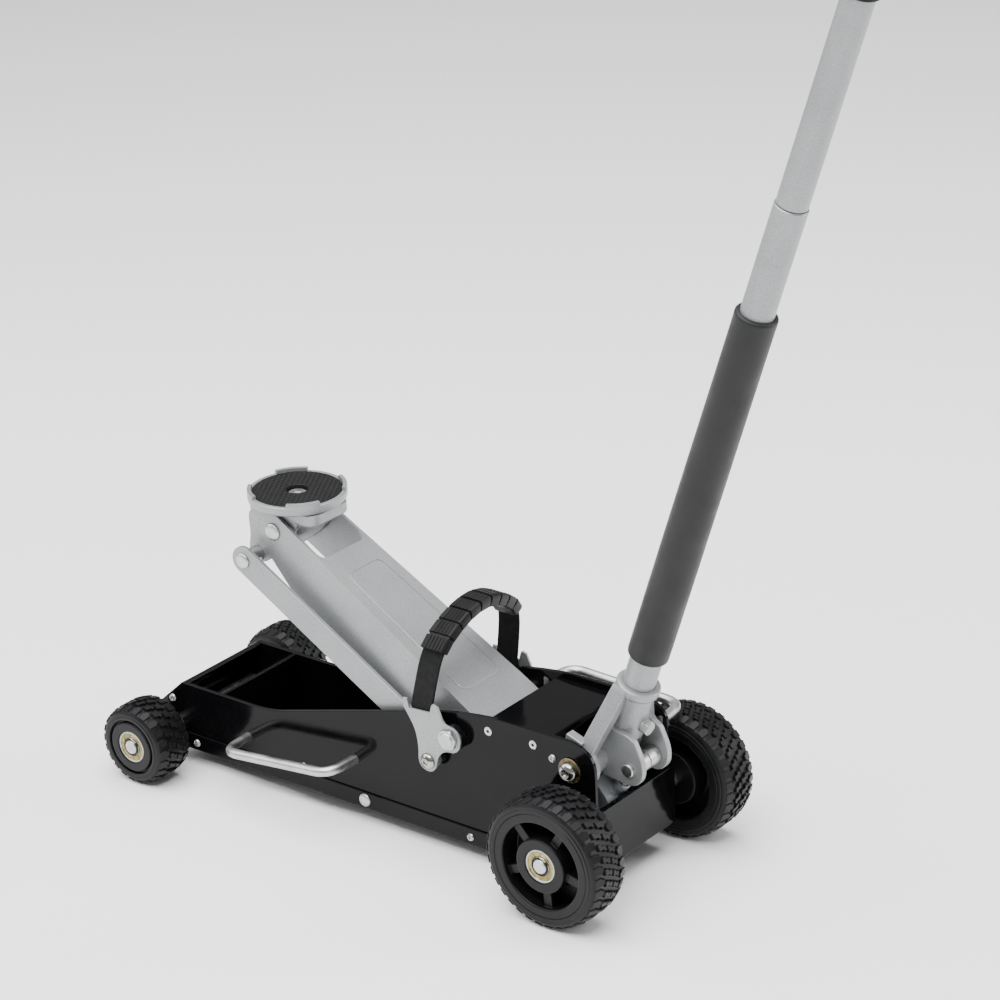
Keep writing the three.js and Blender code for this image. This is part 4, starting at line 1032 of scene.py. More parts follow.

# %% [markdown]
# The plates are held by button-head screws and the cover by pale flush ones. There are only two screw
# shapes, so each is turned once and the point tree sets it in every place on both plates. A dark oxide disc
# in each flush screw's shallow socket is painted shade, standing in for the shadow inside a deep socket.

# %% Small screws
def button_screw():
    """A button head standing on the origin along +Z, with its socket."""
    return turned([(0, 0.9), (1.7, 0.9), (1.9, 2.5), (2.6, 2.7), (3.9, 2.1), (4.7, 0.8), (4.8, 0),
                   (4.8, -0.6), (0, -0.6)], axis=(0, 0, 1), steps=24)


def flush_screw():
    """A pale countersunk screw, almost level with the plate."""
    return turned([(2.0, -0.5), (2.0, 0.5), (2.3, 0.7), (4.7, 0.7), (5.3, 0.3), (5.3, -0.5), (2.0, -0.5)],
                  axis=(0, 0, 1), steps=24)


# Painted shade: a dark disc that stands in for the shadow inside a deep screw socket.
def socket_painted_shade():
    return turned([(0, 0.1), (2.0, 0.1), (2.0, -0.5), (0, -0.5)], axis=(0, 0, 1), steps=16)


TRAY_OUT = -corner_mm("skid_tray")[0].y
BUTTONS = ((-6, 81, PLATE_OUT), (31.5, 30, TRAY_OUT), (202, 47, PLATE_OUT), (576, 165, PLATE_OUT),
           (455, 30, TRAY_OUT))
FLUSH = ((485.5, 173, PLATE_OUT), (549, 174, PLATE_OUT))


def screw_places(table):
    return [((x, side * out, z), (0, side, 0)) for side in (-1, 1) for x, z, out in table]


finish("plate_screws", on_spots(button_screw(), screw_places(BUTTONS), ZINC), ZINC, "chassis")
finish("cover_screws", on_spots(flush_screw(), screw_places(FLUSH), ZINC), ZINC, "chassis")
# Dark oxide discs in the flush screws' sockets: painted shade for deep sockets.
finish("cover_screw_sockets", on_spots(socket_painted_shade(), screw_places(FLUSH), OXIDE), OXIDE, "chassis")
print("screws placed:", 2 * (len(BUTTONS) + len(FLUSH)))

# %% [markdown]
# ## Lift arm
#
# The arm is one sheet of 5 mm steel pressed into a channel: two walls and a top, with round bends along
# the top edges that catch a long highlight. It narrows toward the head. A window in the top clears the
# saddle bracket as the arm rises, and a raised panel stiffens the rest. It is drawn at full width, cut,
# and only then drawn in at the head.

# %% Pressed channel
ARM_HALF = corner_mm("lift_arm")[1].y
ARM_T = 5.0
ARM_INNER = ARM_HALF - ARM_T
HEAD_HALF = 40.0
WINDOW_X = 224.0
HORN = middle_mm("horn_pin")
ARM_FALL = 0.5858  # drop of the top face for each millimetre back


def arm_top(x):
    """Height of the arm's top face."""
    return 263 - ARM_FALL * (x - 300)


def arm_walls():
    outline = [(463, arm_top(463)), (WINDOW_X, arm_top(WINDOW_X))] + arc(HEAD.x, HEAD.z, 21.5, 59, 200, 24)
    outline += [(142, 293)] + bend((150, 284), (172, 259), (188, 243), 6)
    outline += [(414, 129)] + bend((414, 129), (424, 124), (438, 124), 6)
    outline += bend((438, 124), (470, 126), (471, 156), 12)
    outline += bend((471, 156), (471, 168), (463, arm_top(463)), 6)[:-1]
    bm = plate(outline, -ARM_HALF, ARM_HALF)
    bends = [e for e in bm.edges if all(abs(abs(v.co.y) - ARM_HALF) < 0.1
                                        and abs(v.co.z - arm_top(v.co.x)) < 0.5 and v.co.x > WINDOW_X - 1
                                        for v in e.verts)]
    bmesh.ops.bevel(bm, geom=bends, offset=6.5, segments=7, profile=0.5, affect="EDGES", clamp_overlap=True)
    return bm


def slanted_sheet(x0, x1, half, low, high, corner):
    """A rounded panel lying along the arm's top face, between two heights above it."""
    bm = plate(rounded([(x0, -half), (x1, -half), (x1, half), (x0, half)], corner), 0, 1, "Z")
    for v in bm.verts:
        v.co.z = arm_top(v.co.x) + (high if v.co.z > 0.5 else low)
    return bm


def draw_in(bm):
    """Narrows the arm toward the head. It is cut across first, so the fold lies on real edges."""
    everything = bm.verts[:] + bm.edges[:] + bm.faces[:]
    bmesh.ops.bisect_plane(bm, geom=everything, plane_co=(SHAFT.x, 0, 0), plane_no=(1, 0, 0))
    taper = (ARM_HALF - HEAD_HALF) / ARM_HALF / (SHAFT.x - HEAD.x)
    for v in bm.verts:
        if v.co.x < SHAFT.x:
            v.co.y *= 1 + taper * (v.co.x - SHAFT.x)
    return bm


def rod_y(radius, y0, y1, x, z, steps=48):
    return turned([(0, y0), (radius, y0), (radius, y1), (0, y1)], (x, 0, z), steps=steps)


def make_arm():
    under = ARM_T / math.cos(math.atan(ARM_FALL))
    hollow = plate([(90, 90), (90, arm_top(90) - under), (462.8, arm_top(462.8) - under), (462.8, 420),
                    (520, 420), (520, 90)], -ARM_INNER, ARM_INNER)
    window = plate(rounded([(60, -ARM_INNER), (WINDOW_X, -ARM_INNER), (WINDOW_X, ARM_INNER),
                            (60, ARM_INNER)], 13), 255, 420, "Z")
    horns = [plate(stadium((SHAFT.x, SHAFT.z), (HORN.x, HORN.z), 14), y, y + 8) for y in (-30, 22)]
    emboss = slanted_sheet(250, 424, 36, -1.5, 1.2, 12)
    rim = [e for e in emboss.edges if all(v.co.z > arm_top(v.co.x) + 1.1 for v in e.verts)]
    bmesh.ops.bevel(emboss, geom=rim, offset=1.0, segments=3, profile=0.5, affect="EDGES")
    sunk = slanted_sheet(252.5, 421.5, 33.5, 0.35, 4, 10)
    bm = worked(arm_walls(), cuts=[hollow, window])
    bm = worked(bm, joins=[rod_y(20, -ARM_INNER - 1, ARM_INNER + 1, SHAFT.x, SHAFT.z)] + horns + [emboss],
                cuts=[sunk, rod_y(12.3, -90, 90, SHAFT.x, SHAFT.z), rod_y(8.3, -90, 90, HEAD.x, HEAD.z)])
    return draw_in(bm)


finish("lift_arm", make_arm(), SILVER, "lift_arm", ["lift_arm"], corner=38)
finish("horn_pin", turned(rod_profile(7, -45.5, 45.5), (HORN.x, 0, HORN.z)), ZINC, "lift_arm",
       ["horn_pin"])
print("arm made: half width", ARM_HALF, "at the shaft and", HEAD_HALF, "at the head")

# %% [markdown]
# Two flat link bars run beside the arm. With the arm they make a parallelogram, which is why the saddle
# stays level at every height. Their ends are rounded about their pins.

# %% Link bars and head pins
def put_links():
    low, high = corner_mm("link_bar_near")
    outline = stadium((LINK_LOW.x, LINK_LOW.z), (LINK_TOP.x, LINK_TOP.z), 17)
    for side, turn in SIDES:
        finish(f"link_bar_{side}", turn(plate(outline, low.y, high.y)), SILVER, "links",
               [f"link_bar_{side}"], 1.0, segments=3)


def headed_pin(name, x, z, body, profile):
    """A pin seen from the side: half a profile from its near end to the middle, used twice."""
    whole = profile + [(r, -h) for r, h in reversed(profile)]
    bm = turned(whole, (x, 0, z), steps=48)
    finish(name, bm, ZINC, body, [name], 0.3)


put_links()
edge = -corner_mm("head_pin")[0].y
headed_pin("head_pin", HEAD.x, HEAD.z, "head", [(0, -edge), (6.6, -edge), (8.6, -edge + 0.6),
                                                (10.5, -edge + 2.2), (10.5, -edge + 4), (8, -edge + 4)])
edge = -corner_mm("link_head_pin")[0].y
headed_pin("link_head_pin", LINK_TOP.x, LINK_TOP.z, "head",
           [(0, -edge), (6.2, -edge), (8.2, -edge + 0.5), (9.5, -edge + 1.8), (9.5, -edge + 3.2),
            (6, -edge + 3.2), (6, -54.7), (10, -54.7), (10, -34.8), (6, -34.8)])

# %% [markdown]
# The head is a casting that carries the saddle: a thick rounded flange on two walls, hung between the arm's
# walls on one pin and held level by the link bars on another. It is joined from soft-edged shapes, because
# rounding a joined shape afterwards can leave thin spikes where the cuts meet.

# %% Head casting
BRACKET_IN, BRACKET_OUT = 29.0, 34.5
FLANGE = (SADDLE_LOW.z - 16, SADDLE_LOW.z - 0.3)


def make_head():
    """A rounded rectangular flange on two walls that fit between the walls of the arm."""
    half_x, half_y = 53, BRACKET_OUT
    rectangle = [(SADDLE_X - half_x, -half_y), (SADDLE_X + half_x, -half_y),
                 (SADDLE_X + half_x, half_y), (SADDLE_X - half_x, half_y)]
    flange = plate(rounded(rectangle, 16, 10), *FLANGE, "Z")
    rims = [e for e in flange.edges if all(v.co.z < FLANGE[0] + 0.1 for v in e.verts)]
    bmesh.ops.bevel(flange, geom=rims, offset=4.5, segments=5, profile=0.5, affect="EDGES")
    rims = [e for e in flange.edges if all(v.co.z > FLANGE[1] - 0.1 for v in e.verts)]
    bmesh.ops.bevel(flange, geom=rims, offset=1.5, segments=3, profile=0.5, affect="EDGES")
    hollow = block(124, SADDLE_X + 40, -BRACKET_IN, BRACKET_IN, FLANGE[0] - 1, FLANGE[0] + 7)
    side_outline = rounded([(LINK_TOP.x - 14, LINK_TOP.z + 2), (LINK_TOP.x - 5, LINK_TOP.z - 13),
                            (LINK_TOP.x + 12, LINK_TOP.z - 9), (168, 310), (186, FLANGE[0] + 5),
                            (106, FLANGE[0] + 5), (108, 312)], 12)
    walls = [soft_plate(side_outline, y, y + BRACKET_OUT - BRACKET_IN) for y in (-BRACKET_OUT, BRACKET_IN)]
    bosses = [rod_y(19, y, y + BRACKET_OUT - BRACKET_IN, HEAD.x, HEAD.z)
              for y in (-BRACKET_OUT, BRACKET_IN)]
    back = block(112, 117, -BRACKET_IN - 1, BRACKET_IN + 1, 302, FLANGE[0] + 6)
    bolt_hole = turned([(0, FLANGE[0] - 2), (6.8, FLANGE[0] - 2), (6.8, FLANGE[1] + 2),
                        (0, FLANGE[1] + 2)], (SADDLE_X, 0, 0), (0, 0, 1))
    pin_holes = [rod_y(8.3, -60, 60, HEAD.x, HEAD.z), rod_y(6.3, -60, 60, LINK_TOP.x, LINK_TOP.z)]
    return worked(flange, joins=walls + bosses + [back], cuts=[hollow, bolt_hole, *pin_holes])


finish("head_bracket", make_head(), SILVER, "head", ["head_bracket"])

# %% [markdown]
# ## Saddle
#
# The saddle is a cast dish with four raised tabs on its rim, so a frame rail cannot slide off. A rubber
# pad lies in it. Its face is moulded with rows of small studs: a grid of points inside the pad's ring,
# with one small cone put on each.

# %% Saddle dish
def make_saddle():
    low, rim, tab = SADDLE_LOW.z, corner_mm("saddle_pad")[1].z - 1.5, SADDLE_HIGH.z
    outer, seat, floor = 59.0, 53.8, SADDLE_LOW.z + 6
    dish = turned([(6.8, low), (50, low), (56.5, low + 1.0), (58.2, low + 2.8), (58.6, low + 5.0),
                   (outer, low + 6.0), (outer, rim - 0.8), (outer - 0.8, rim), (seat + 0.4, rim),
                   (seat, rim - 0.4), (seat, floor), (6.8, floor), (6.8, low)], (SADDLE_X, 0, 0),
                  (0, 0, 1), steps=120)
    tabs = []
    for k in range(4):
        start, end = 90 * k - 62, 90 * k - 22
        outline = arc(SADDLE_X, 0, outer - 0.15, start, end, 16)
        outline += arc(SADDLE_X, 0, seat + 0.1, end, start, 16)
        tab_shape = plate(outline, rim - 3, tab, "Z")
        rims = [e for e in tab_shape.edges if all(v.co.z > tab - 0.1 for v in e.verts)]
        bmesh.ops.bevel(tab_shape, geom=rims, offset=0.7, segments=2, profile=0.5, affect="EDGES")
        tabs.append(tab_shape)
    return worked(dish, joins=tabs)


def make_pad():
    low, high = corner_mm("saddle_pad")
    radius, hole, face = (high.x - low.x) / 2, 13.0, high.z - 1.1
    sheet = turned([(hole, low.z), (radius, low.z), (radius, face - 0.6), (radius - 0.6, face),
                    (hole + 0.6, face), (hole, face - 0.6), (hole, low.z)], (SADDLE_X, 0, 0), (0, 0, 1),
                   steps=96)
    stud = turned([(0, 1.05), (1.1, 1.0), (2.1, 0.0), (2.1, -0.3), (0, -0.3)], axis=(0, 0, 1), steps=8)
    pitch, places = 6.6, []
    rows = int(radius / pitch) + 1
    for i in range(-rows, rows + 1):
        for j in range(-rows, rows + 1):
            x, y = (i + 0.5 * (j % 2)) * pitch, j * pitch * 0.87
            if hole + 2.5 < math.hypot(x, y) < radius - 2.5:
                places.append(((SADDLE_X + x, y, face), (0, 0, 1)))
    print("pad studs:", len(places))
    return joined(sheet, on_spots(stud, places, RUBBER))


def make_saddle_bolt():
    low = corner_mm("saddle_bolt")[0]
    seat = SADDLE_LOW.z + 6.3
    return turned([(0, low.z), (9.2, low.z), (10.5, low.z + 1.2), (10.5, low.z + 6.7), (6.5, low.z + 6.7),
                   (6.5, seat), (11, seat), (11, seat + 1.5), (10, seat + 2.2), (5.5, seat + 2.2),
                   (5.0, seat + 0.6), (0, seat + 0.6)], (SADDLE_X, 0, 0), (0, 0, 1), steps=48)


finish("saddle", make_saddle(), SILVER, "saddle", ["saddle"])
finish("saddle_pad", make_pad(), RUBBER, "saddle", ["saddle_pad"])
finish("saddle_bolt", make_saddle_bolt(), ZINC, "saddle", ["saddle_bolt"])

# %% [markdown]
# ## Hydraulic unit
#
# Behind the arm's shaft lies the unit that does the work: a cylinder inside its oil tank, a ram with a
# crosshead that pushes the arm's horn, a cast block with two pump plungers, and two coil springs that
# draw the ram home. Little of it shows, but it is seen from above and from behind, so it is finished like
# the rest.

# %% Cylinder, tank, ram and block
def put_hydraulics():
    low, high = corner_mm("ram_cylinder")
    z, x0, x1 = middle_mm("ram_cylinder").z, low.x, high.x
    barrel = turned([(11.3, x0), (23.5, x0), (25, x0 + 1.5), (25, x1), (21, x1), (21, x0 + 7),
                     (11.3, x0 + 7), (11.3, x0)], (0, 0, z), (1, 0, 0))
    finish("ram_cylinder", barrel, OXIDE, "chassis", ["ram_cylinder"])
    a = corner_mm("reservoir_tank")[0].x
    tank = turned([(25.3, a), (31, a), (33, a + 2), (33, x1 - 6), (32.2, x1 - 5), (33, x1 - 4), (33, x1),
                   (30.5, x1), (30.5, a + 3), (25.3, a + 3), (25.3, a)], (0, 0, z), (1, 0, 0))
    finish("reservoir_tank", tank, SILVER, "chassis", ["reservoir_tank"])
    low, high = corner_mm("ram_rod")
    rod = turned([(0, low.x), (7, low.x), (7, low.x + 6), (11, low.x + 6.5), (11, high.x - 8),
                  (20.7, high.x - 8), (20.7, high.x), (0, high.x)], (0, 0, z), (1, 0, 0))
    finish("ram_rod", rod, ZINC, "ram", ["ram_rod"])
    finish("crosshead", from_frame("crosshead"), OXIDE, "ram", ["crosshead"], 0.8)
    finish("power_block", from_frame("power_block"), CASTING, "chassis", ["power_block"],
           1.0, segments=3)
    finish("release_valve", from_frame("release_valve"), ZINC, "valve", ["release_valve"],
           0.4)


def coil_path(start, end, radius, turns, per_turn=20):
    """Points of a helix between two points, its turns evenly spaced."""
    run = end - start
    side = run.orthogonal().normalized()
    other = run.cross(side).normalized()
    count = turns * per_turn
    angles = [2 * math.pi * i / per_turn for i in range(count + 1)]
    return [start + run * (i / count) + (side * math.cos(a) + other * math.sin(a)) * radius
            for i, a in enumerate(angles)]


def put_springs():
    """Each spring joins the arm's horn to the chassis; it is put on no body."""
    low, high = corner_mm("return_spring_near")
    middle_y = (low.y + high.y) / 2
    start = Vector((low.x + 1.2, middle_y, high.z - 5.2))
    end = Vector((high.x - 1.2, middle_y, low.z + 5.2))
    for side, turn in SIDES:
        bm = swept(circle_section(0.9, 8), coil_path(start, end, 4.1, 26))
        spring = finish(f"return_spring_{side}", turn(bm), ZINC, None, [f"return_spring_{side}"])
        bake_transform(spring)


def put_plungers():
    down = Vector((-0.6, 0, -0.8))
    for side, turn in SIDES:
        low, high = corner_mm("pump_plunger_near")
        top = Vector((high.x - 8.2 * 0.8, (low.y + high.y) / 2, high.z - 8.2 * 0.6))
        bm = turned([(0, 0), (7.4, 0), (8.2, 0.8), (8.2, 3), (6, 3), (6, 51.2), (5.2, 52), (0, 52)], top,
                    down, steps=40)
        finish(f"pump_plunger_{side}", turn(bm), ZINC, "plungers", [f"pump_plunger_{side}"])


put_hydraulics()
put_springs()
put_plungers()
print("hydraulic unit made")

# %% [markdown]
# ## Handle socket
#
# The socket is a welded yoke: a tube with a rolled collar, two cheeks that reach down to the pivot, and
# two lugs that hold the pump roller. It is drawn in the handle's own frame, where w runs up the handle
# and u runs back, and then leaned over. When it is pumped, the roller presses the plungers.

# %% Yoke
ROLLER_U, ROLLER_W, ROLLER_R = 47.0, 11.0, 11.0
TUBE_R = 18.5
SLEEVE_R = TUBE_R + 3.4
CLAMP_W = 54.0


def rod_u(radius, u0, u1, w, steps=40):
    return turned([(0, u0), (radius, u0), (radius, u1), (0, u1)], (0, 0, w), (1, 0, 0), steps=steps)


def rod_w(radius, w0, w1, steps=64):
    return turned([(0, w0), (radius, w0), (radius, w1), (0, w1)], (HANDLE_U, 0, 0), (0, 0, 1), steps=steps)


def cheek(side):
    """One flat side of the yoke, with soft changes of direction down its outer edge."""
    outline = ([(25, 100)] + bend((25, 100), (28, 96), (30, 91), 4)
               + bend((57, 32), (62.5, 20), (63.5, 10), 8) + [(63.5, 0), (50, 0), (48, 18)]
               + [(20, 74), (20, 100)])
    return soft_plate([(side * y, w) for y, w in outline], -5, 14, "X", 1.4)


def lug_cheek(y0, y1):
    outline = (arc(0, 0, 19, 115, 283.2, 24) + arc(ROLLER_U, ROLLER_W, 19, 283.2, 375, 16)
               + bend((65.4, 15.9), (63, 26), (56, 34), 6) + bend((46, 46), (38, 50), (30, 50), 6)
               + [(8, 46)])
    return soft_plate(outline, y0, y1, soft=1.3)


def make_socket():
    collar = turned([(0, 88.5), (SLEEVE_R + 0.4, 88.5), (SLEEVE_R + 1.6, 89.4), (25.0, 91.4),
                     (25.4, 92.8), (25.4, 98.4), (25.0, 100.2), (23.6, 101.3), (21, 101.5), (0, 101.5)],
                    (HANDLE_U, 0, 0), (0, 0, 1), steps=72)
    big = [turned([(0, y), (25.5, y), (27, y + 1.5), (27, y + 12), (25.5, y + 13.5), (0, y + 13.5)],
                  steps=56) for y in (-63.5, 50)]
    hubs = [rod_y(20, -52, 52, 0, 0)] + big
    steps = [block(-23, 0, y, y + 12, 12, 33, 1.2) for y in (-62, 50)]
    lugs = [lug_cheek(-28, -20), lug_cheek(20, 28)]
    end = HANDLE_U + SLEEVE_R + 2.4
    boss = turned([(0, 28), (8.5, 28), (8.5, end - 0.8), (7.7, end), (0, end)], (0, 0, CLAMP_W),
                  (1, 0, 0), steps=40)
    return worked(rod_w(SLEEVE_R, 36, 98), joins=[collar, *hubs, block(-8, 30, -15, 15, 8, 40, 2.0),
                                                  cheek(-1), cheek(1), *steps, *lugs, boss],
                  cuts=[rod_w(TUBE_R + 0.3, 41.7, 110), rod_w(6.8, -30, 60, 32),
                        block(-30, 45, -14, 14, -30, 6), rod_y(8.3, -70, -36, 0, 0),
                        rod_y(8.3, 36, 70, 0, 0), rod_y(5.3, -40, 40, ROLLER_U, ROLLER_W),
                        rod_u(5.3, 28, 60, CLAMP_W)])


finish("handle_socket", on_handle(make_socket()), SILVER, "socket", ["handle_socket"],
       corner=35)

# %% [markdown]
# The roller is in two parts with a narrow groove between them, and it turns on a pin with flat heads. The
# clamp bolt pins the handle tube into the yoke.

# %% Roller, pin and clamp bolt
def put_roller():
    half = 19.7
    profile = [(5.3, -half), (ROLLER_R - 1, -half), (ROLLER_R, -half + 1), (ROLLER_R, -1.1),
               (ROLLER_R - 1.4, -0.8), (ROLLER_R - 1.4, 0.8), (ROLLER_R, 1.1), (ROLLER_R, half - 1),
               (ROLLER_R - 1, half), (5.3, half), (5.3, -half)]
    finish("pump_roller", on_handle(turned(profile, (ROLLER_U, 0, ROLLER_W))), ZINC, "roller",
           ["pump_roller"])
    head = [(0, -31.6), (6.8, -31.6), (8, -30.6), (8, -28.4), (5, -28.4)]
    pin = turned(head + [(r, -h) for r, h in reversed(head)], (ROLLER_U, 0, ROLLER_W), steps=48)
    finish("roller_pin", on_handle(pin), ZINC, "socket", ["roller_pin"], 0.3)


def put_clamp_bolt():
    end = HANDLE_U + SLEEVE_R + 2.4
    prism = plate([(a, CLAMP_W + b) for a, b in hexagon(9, 12)], end + 0.3, end + 7, "X")
    cone = turned([(0, end - 1), (9.2, end - 1), (9.2, end + 5.4), (7.6, end + 7.01), (0, end + 7.01)],
                  (0, 0, CLAMP_W), (1, 0, 0), steps=48)
    head = overlap_of(prism, cone)
    shank = rod_u(5, HANDLE_U + TUBE_R + 0.4, end + 2, CLAMP_W)
    finish("clamp_bolt", on_handle(joined(head, shank)), ZINC, "socket", ["clamp_bolt"], 0.35)


put_roller()
put_clamp_bolt()
print("yoke made, leaning", round(math.degrees(HANDLE_LEAN), 2), "degrees")

# %% [markdown]
# ## Handle
#
# Two telescoping tubes make the handle. A foam sleeve protects car bodywork from the lower one, and a
# ribbed rubber grip ends the upper one. The foam is a soft tube pushed on tightly: full and round, with
# ends that curl in a little.

# %% Tubes, foam and grip
JOINT_W, TOP_W = 721.0, 1086.0
GRIP_W = (962.0, 1091.0)
FOAM_W = (139.7, 591.0)
UPPER_R, INSERT_R = 17.3, 16.0


def on_axis(profile, steps=72):
    return on_handle(turned(profile, (HANDLE_U, 0, 0), (0, 0, 1), steps=steps))


def put_tubes():
    wall = 2.2
    lower = [(0, 5), (5.4, 5), (6, 5.8), (6, 42), (TUBE_R - 1, 42), (TUBE_R, 43), (TUBE_R, JOINT_W - 1.0),
             (TUBE_R - 0.9, JOINT_W), (TUBE_R - wall, JOINT_W), (TUBE_R - wall, 50), (0, 50)]
    finish("handle_lower", on_axis(lower), SILVER, "handle", ["handle_lower"])
    upper = [(INSERT_R - 2.4, JOINT_W - 70), (INSERT_R, JOINT_W - 70), (INSERT_R, JOINT_W + 0.3),
             (UPPER_R, JOINT_W + 1.8), (UPPER_R, TOP_W), (INSERT_R - 2.4, TOP_W),
             (INSERT_R - 2.4, JOINT_W - 70)]
    finish("handle_upper", on_axis(upper), SILVER, "handle", ["handle_upper"])


def put_foam():
    low, high = FOAM_W
    inner, outer = TUBE_R + 0.3, 23.8
    crown = [(outer - 3.2, 0), (outer - 1.3, 0.7), (outer - 0.5, 2.0), (outer - 0.25, 4.5)]
    body = [(outer - 0.25 + 0.2 * math.sin(5.1 * t), low + 4.5 + (high - low - 9) * t)
            for t in (i / 40 for i in range(1, 40))]
    profile = ([(inner, low)] + [(r, low + h) for r, h in crown] + body
               + [(r, high - h) for r, h in reversed(crown)] + [(inner, high), (inner, low)])
    sleeve = finish("foam_sleeve", on_axis(profile, 96), FOAM, "handle", ["foam_sleeve"], corner=60)


def put_grip():
    low, high = GRIP_W
    outer, root, pitch = 21.5, 19.9, 6.0
    count = int((high - low - 22) / pitch)
    ribs = []
    for k in range(count):
        w = low + 9 + k * pitch
        ribs += [(root, w), (outer - 0.5, w + 1.0), (outer - 0.2, w + 1.5), (outer - 0.2, w + 3.4),
                 (outer - 0.5, w + 3.9), (root, w + 4.9)]
    profile = ([(UPPER_R + 0.3, low), (outer - 1.5, low), (outer, low + 1.6), (outer, low + 6),
                (outer - 0.6, low + 7.2)] + ribs + [(outer, high - 11), (outer, high - 3),
                                                    (outer - 1.0, high - 1.0), (outer - 3, high),
                                                    (0, high), (0, TOP_W + 0.3),
                                                    (UPPER_R + 0.3, TOP_W + 0.3), (UPPER_R + 0.3, low)])
    finish("hand_grip", on_axis(profile, 64), RUBBER, "handle", ["hand_grip"], corner=40)
    return count


put_tubes()
put_foam()
print("handle made, grip ribs:", put_grip())

# %% [markdown]
# ## Carry handle
#
# A strap of black webbing arches over the jack, between two pressed brackets that sit on the shaft and
# the link bolts. A moulded grip of ribbed blocks is threaded onto its top. The arch leans back a little,
# toward the handle, so it is drawn upright first and then sheared.

# %% Brackets
CARRY_IN = corner_mm("carry_bracket_near")[0].y + 3.0


def make_bracket():
    outline = ([(373, 190), (379, 190), (382, 179), (412, 181)]
               + bend((412, 181), (414.5, 193), (417, 193), 4) + [(423, 191)]
               + bend((428, 181), (430, 172), (436, 171), 6)
               + bend((436, 171), (454, 170), (455, 155), 10)
               + bend((455, 155), (453, 138), (438, 138), 10)
               + bend((438, 138), (422, 136), (419, 118), 10)
               + bend((419, 118), (416, 104), (404, 105), 10)
               + bend((404, 105), (392, 107), (392, 120), 10)
               + bend((392, 120), (394, 148), (384, 163), 10) + [(373, 180)])
    low = CARRY_IN - 3.0
    discs = [rod_y(15, low, CARRY_IN, SHAFT.x, SHAFT.z, 56),
             rod_y(12.5, low, CARRY_IN, LINK_LOW.x, LINK_LOW.z, 48),
             rod_y(10, CARRY_IN - 1, -PLATE_OUT - 0.3, LINK_LOW.x, LINK_LOW.z, 40)]
    return worked(soft_plate(outline, low, CARRY_IN, soft=0.6), joins=discs,
                  cuts=[rod_y(9.8, -95, -60, SHAFT.x, SHAFT.z),
                        rod_y(6.3, -95, -60, LINK_LOW.x, LINK_LOW.z)])


for side, turn in SIDES:
    finish(f"carry_bracket_{side}", turn(make_bracket()), SILVER, "chassis", [f"carry_bracket_{side}"])

# %% [markdown]
# The strap follows one smooth curve through a few places on the arch. The grip's blocks sit on the same
# curve, each square to it, placed by the point tree.

# %% Strap and grip
STRAP_W, STRAP_T = 30.0, 3.5


def arch_path(per=10):
    """A smooth run of points over the arch, by Catmull-Rom."""
    edge = -CARRY_IN - 0.3 - STRAP_T / 2
    half = [(edge, 160), (edge - 0.6, 184), (76.2, 212), (72.5, 238), (64.5, 257), (47, 272.5), (24, 284),
            (0, 288)]
    places = [Vector((0, -y, z)) for y, z in half] + [Vector((0, y, z)) for y, z in reversed(half[:-1])]
    out = []
    for i in range(len(places) - 1):
        a, b, c, d = (places[min(max(i + k, 0), len(places) - 1)] for k in (-1, 0, 1, 2))
        for step in range(per):
            t = step / per
            out.append(0.5 * (2 * b + (c - a) * t + (2 * a - 5 * b + 4 * c - d) * t * t
                              + (3 * b - a - 3 * c + d) * t ** 3))
    return out + [places[-1]]


def leaned(bm):
    for v in bm.verts:
        v.co.x += 397 + 0.1875 * max(0.0, v.co.z - 184)
    return bm


def along(path, share):
    """Place and direction at a share of a path's length."""
    lengths = [0.0]
    for a, b in zip(path, path[1:]):
        lengths.append(lengths[-1] + (b - a).length)
    want = share * lengths[-1]
    i = max(k for k, length in enumerate(lengths[:-1]) if length <= want)
    part = (want - lengths[i]) / (lengths[i + 1] - lengths[i])
    return path[i].lerp(path[i + 1], part), (path[i + 1] - path[i]).normalized()


def flat_section(width, thick, corner):
    return rounded([(-width / 2, -thick / 2), (width / 2, -thick / 2), (width / 2, thick / 2),
                    (-width / 2, thick / 2)], corner, 3)


def ribbed_section(width, inner, outer, ribs=5, depth=0.7):
    """A grip block's section: smooth inside the arch, with fine ridges along its outer face."""
    flat = width / 2 - 5.5
    ridges = []
    for k in range(ribs):
        a, b = -flat + 2 * flat * k / ribs, -flat + 2 * flat * (k + 1) / ribs
        ridges += [(a + 0.5, outer + depth), (a + 1.2, outer), (b - 1.2, outer), (b - 0.5, outer + depth)]
    right = bend((flat, outer), (width / 2, outer), (width / 2, outer + 6.5),
                 5) + bend((width / 2, inner - 4), (width / 2, inner), (width / 2 - 5, inner), 4)
    return ridges + right + [(-a, b) for a, b in reversed(right)]


def put_strap():
    path = arch_path()
    strap = swept(flat_section(STRAP_W, STRAP_T, 1.4), path, twist=(1, 0, 0))
    finish("carry_strap", leaned(strap), WEBBING, "chassis", ["carry_strap"], corner=60)
    first, last, blocks = 0.265, 0.735, 9
    stations = [along(path, first + (last - first) * k / 44) for k in range(45)]
    core = swept(flat_section(30.5, 12.0, 4), [place for place, _ in stations[1:-1]], twist=(1, 0, 0))
    length = (stations[-1][0] - stations[-2][0]).length * 44 / blocks
    shape = plate(ribbed_section(34, 7.4, -8.5), -length * 0.45, length * 0.45, "Z")
    rims = [e for e in shape.edges if abs(e.verts[0].co.z - e.verts[1].co.z) < 0.01]
    bmesh.ops.bevel(shape, geom=rims, offset=0.6, segments=2, profile=0.5, affect="EDGES")
    spacing = (last - first) / blocks
    places = [along(path, first + spacing * (k + 0.5)) for k in range(blocks)]
    grip = joined(core, on_spots(shape, places, RUBBER))
    finish("carry_grip", leaned(grip), RUBBER, "chassis", ["carry_grip"], corner=40)
    return blocks


print("carry handle made, grip blocks:", put_strap())

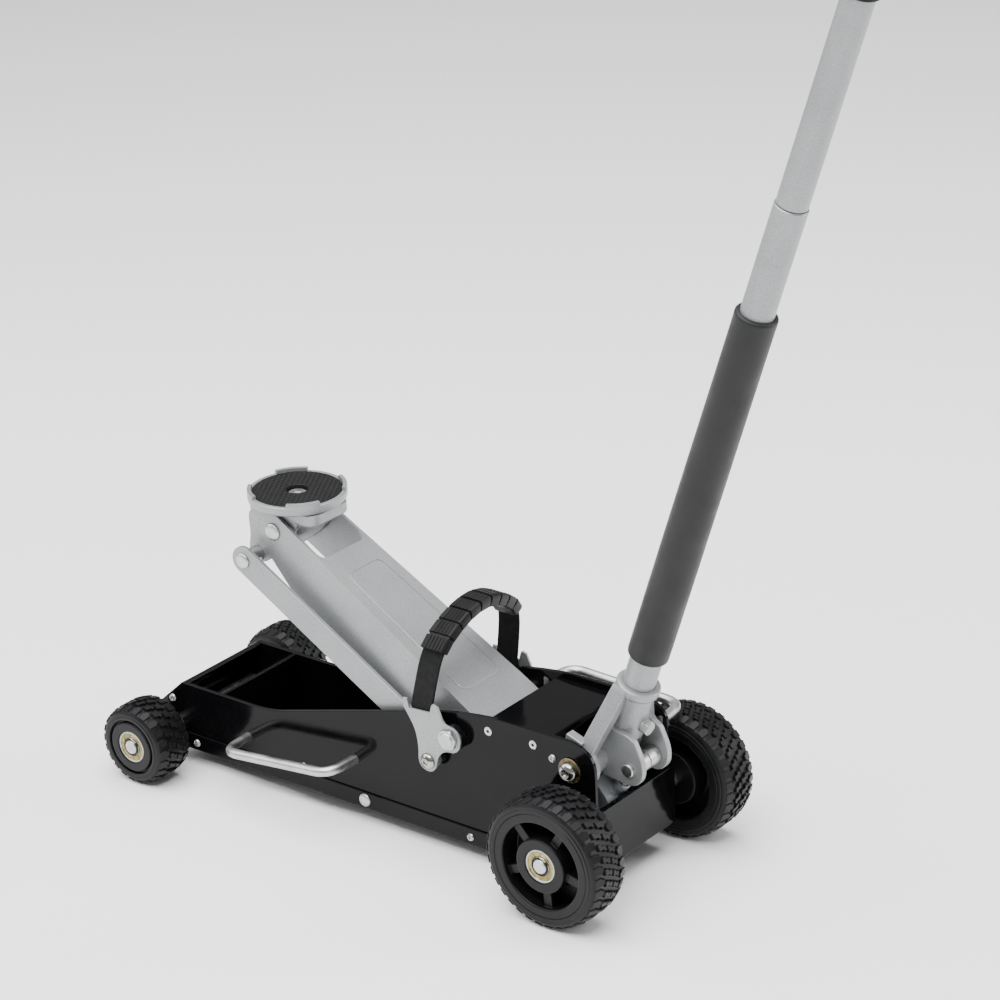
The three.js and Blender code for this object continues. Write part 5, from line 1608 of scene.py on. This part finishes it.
# %% [markdown]
# ## Anything still plain
#
# Every part should have been dressed by now. This cell names any that were missed, so none stays plain by
# accident.

# %% Check for plain parts
plain = [name for name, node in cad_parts.items() if not node.hide_render]
print("parts still plain:", plain or "none", "- pieces made:", len(made))

# %% [markdown]
# ## Floor and light
#
# The jack stands on a pale floor that runs out of sight. Four soft panels light it: a large one overhead,
# one from the left to open the near side, a long strip that runs a highlight down the arm's top bend, and
# a narrow upright one on the right that draws the round edge of the handle.

# %% Floor, lights and world
def put_floor():
    bm = bmesh.new()
    corners = [(-30, -30, 0), (30, -30, 0), (30, 30, 0), (-30, 30, 0)]
    bm.faces.new([bm.verts.new(c) for c in corners])
    floor = loose_object(bm, "studio_floor")
    material, _, shader, _ = new_finish("studio_floor")
    shader.inputs["Base Color"].default_value = linear("#f8f8f8")
    shader.inputs["Roughness"].default_value = 0.85
    floor.data.materials.append(material)


def soft_panel(name, azimuth, elevation, distance, size, power):
    data = bpy.data.lights.new(name, "AREA")
    data.shape, data.size, data.size_y, data.energy = "RECTANGLE", size[0], size[1], power
    lamp = bpy.data.objects.new(name, data)
    a, e = math.radians(azimuth), math.radians(elevation)
    away = Vector((math.sin(a) * math.cos(e), -math.cos(a) * math.cos(e), math.sin(e)))
    facing = away.to_track_quat("Z", "Y").to_matrix().to_4x4()
    lamp.matrix_world = Matrix.Translation(away * distance + Vector((0, 0, 0.4))) @ facing
    bpy.context.scene.collection.objects.link(lamp)


def put_world(brightness):
    world = bpy.data.worlds.new("studio")
    bpy.context.scene.world = world
    world.use_nodes = True
    background = world.node_tree.nodes["Background"]
    background.inputs["Color"].default_value = (1, 1, 1, 1)
    background.inputs["Strength"].default_value = brightness


put_floor()
put_world(0.45)
soft_panel("overhead_panel", 0, 84, 3.8, (5.0, 5.0), 480)
soft_panel("left_panel", -60, 30, 3.6, (2.2, 2.4), 60)
soft_panel("edge_strip", 9, 48, 3.2, (2.4, 0.35), 50)
soft_panel("right_strip", 132, 22, 3.4, (0.7, 2.6), 60)
print("studio lit")
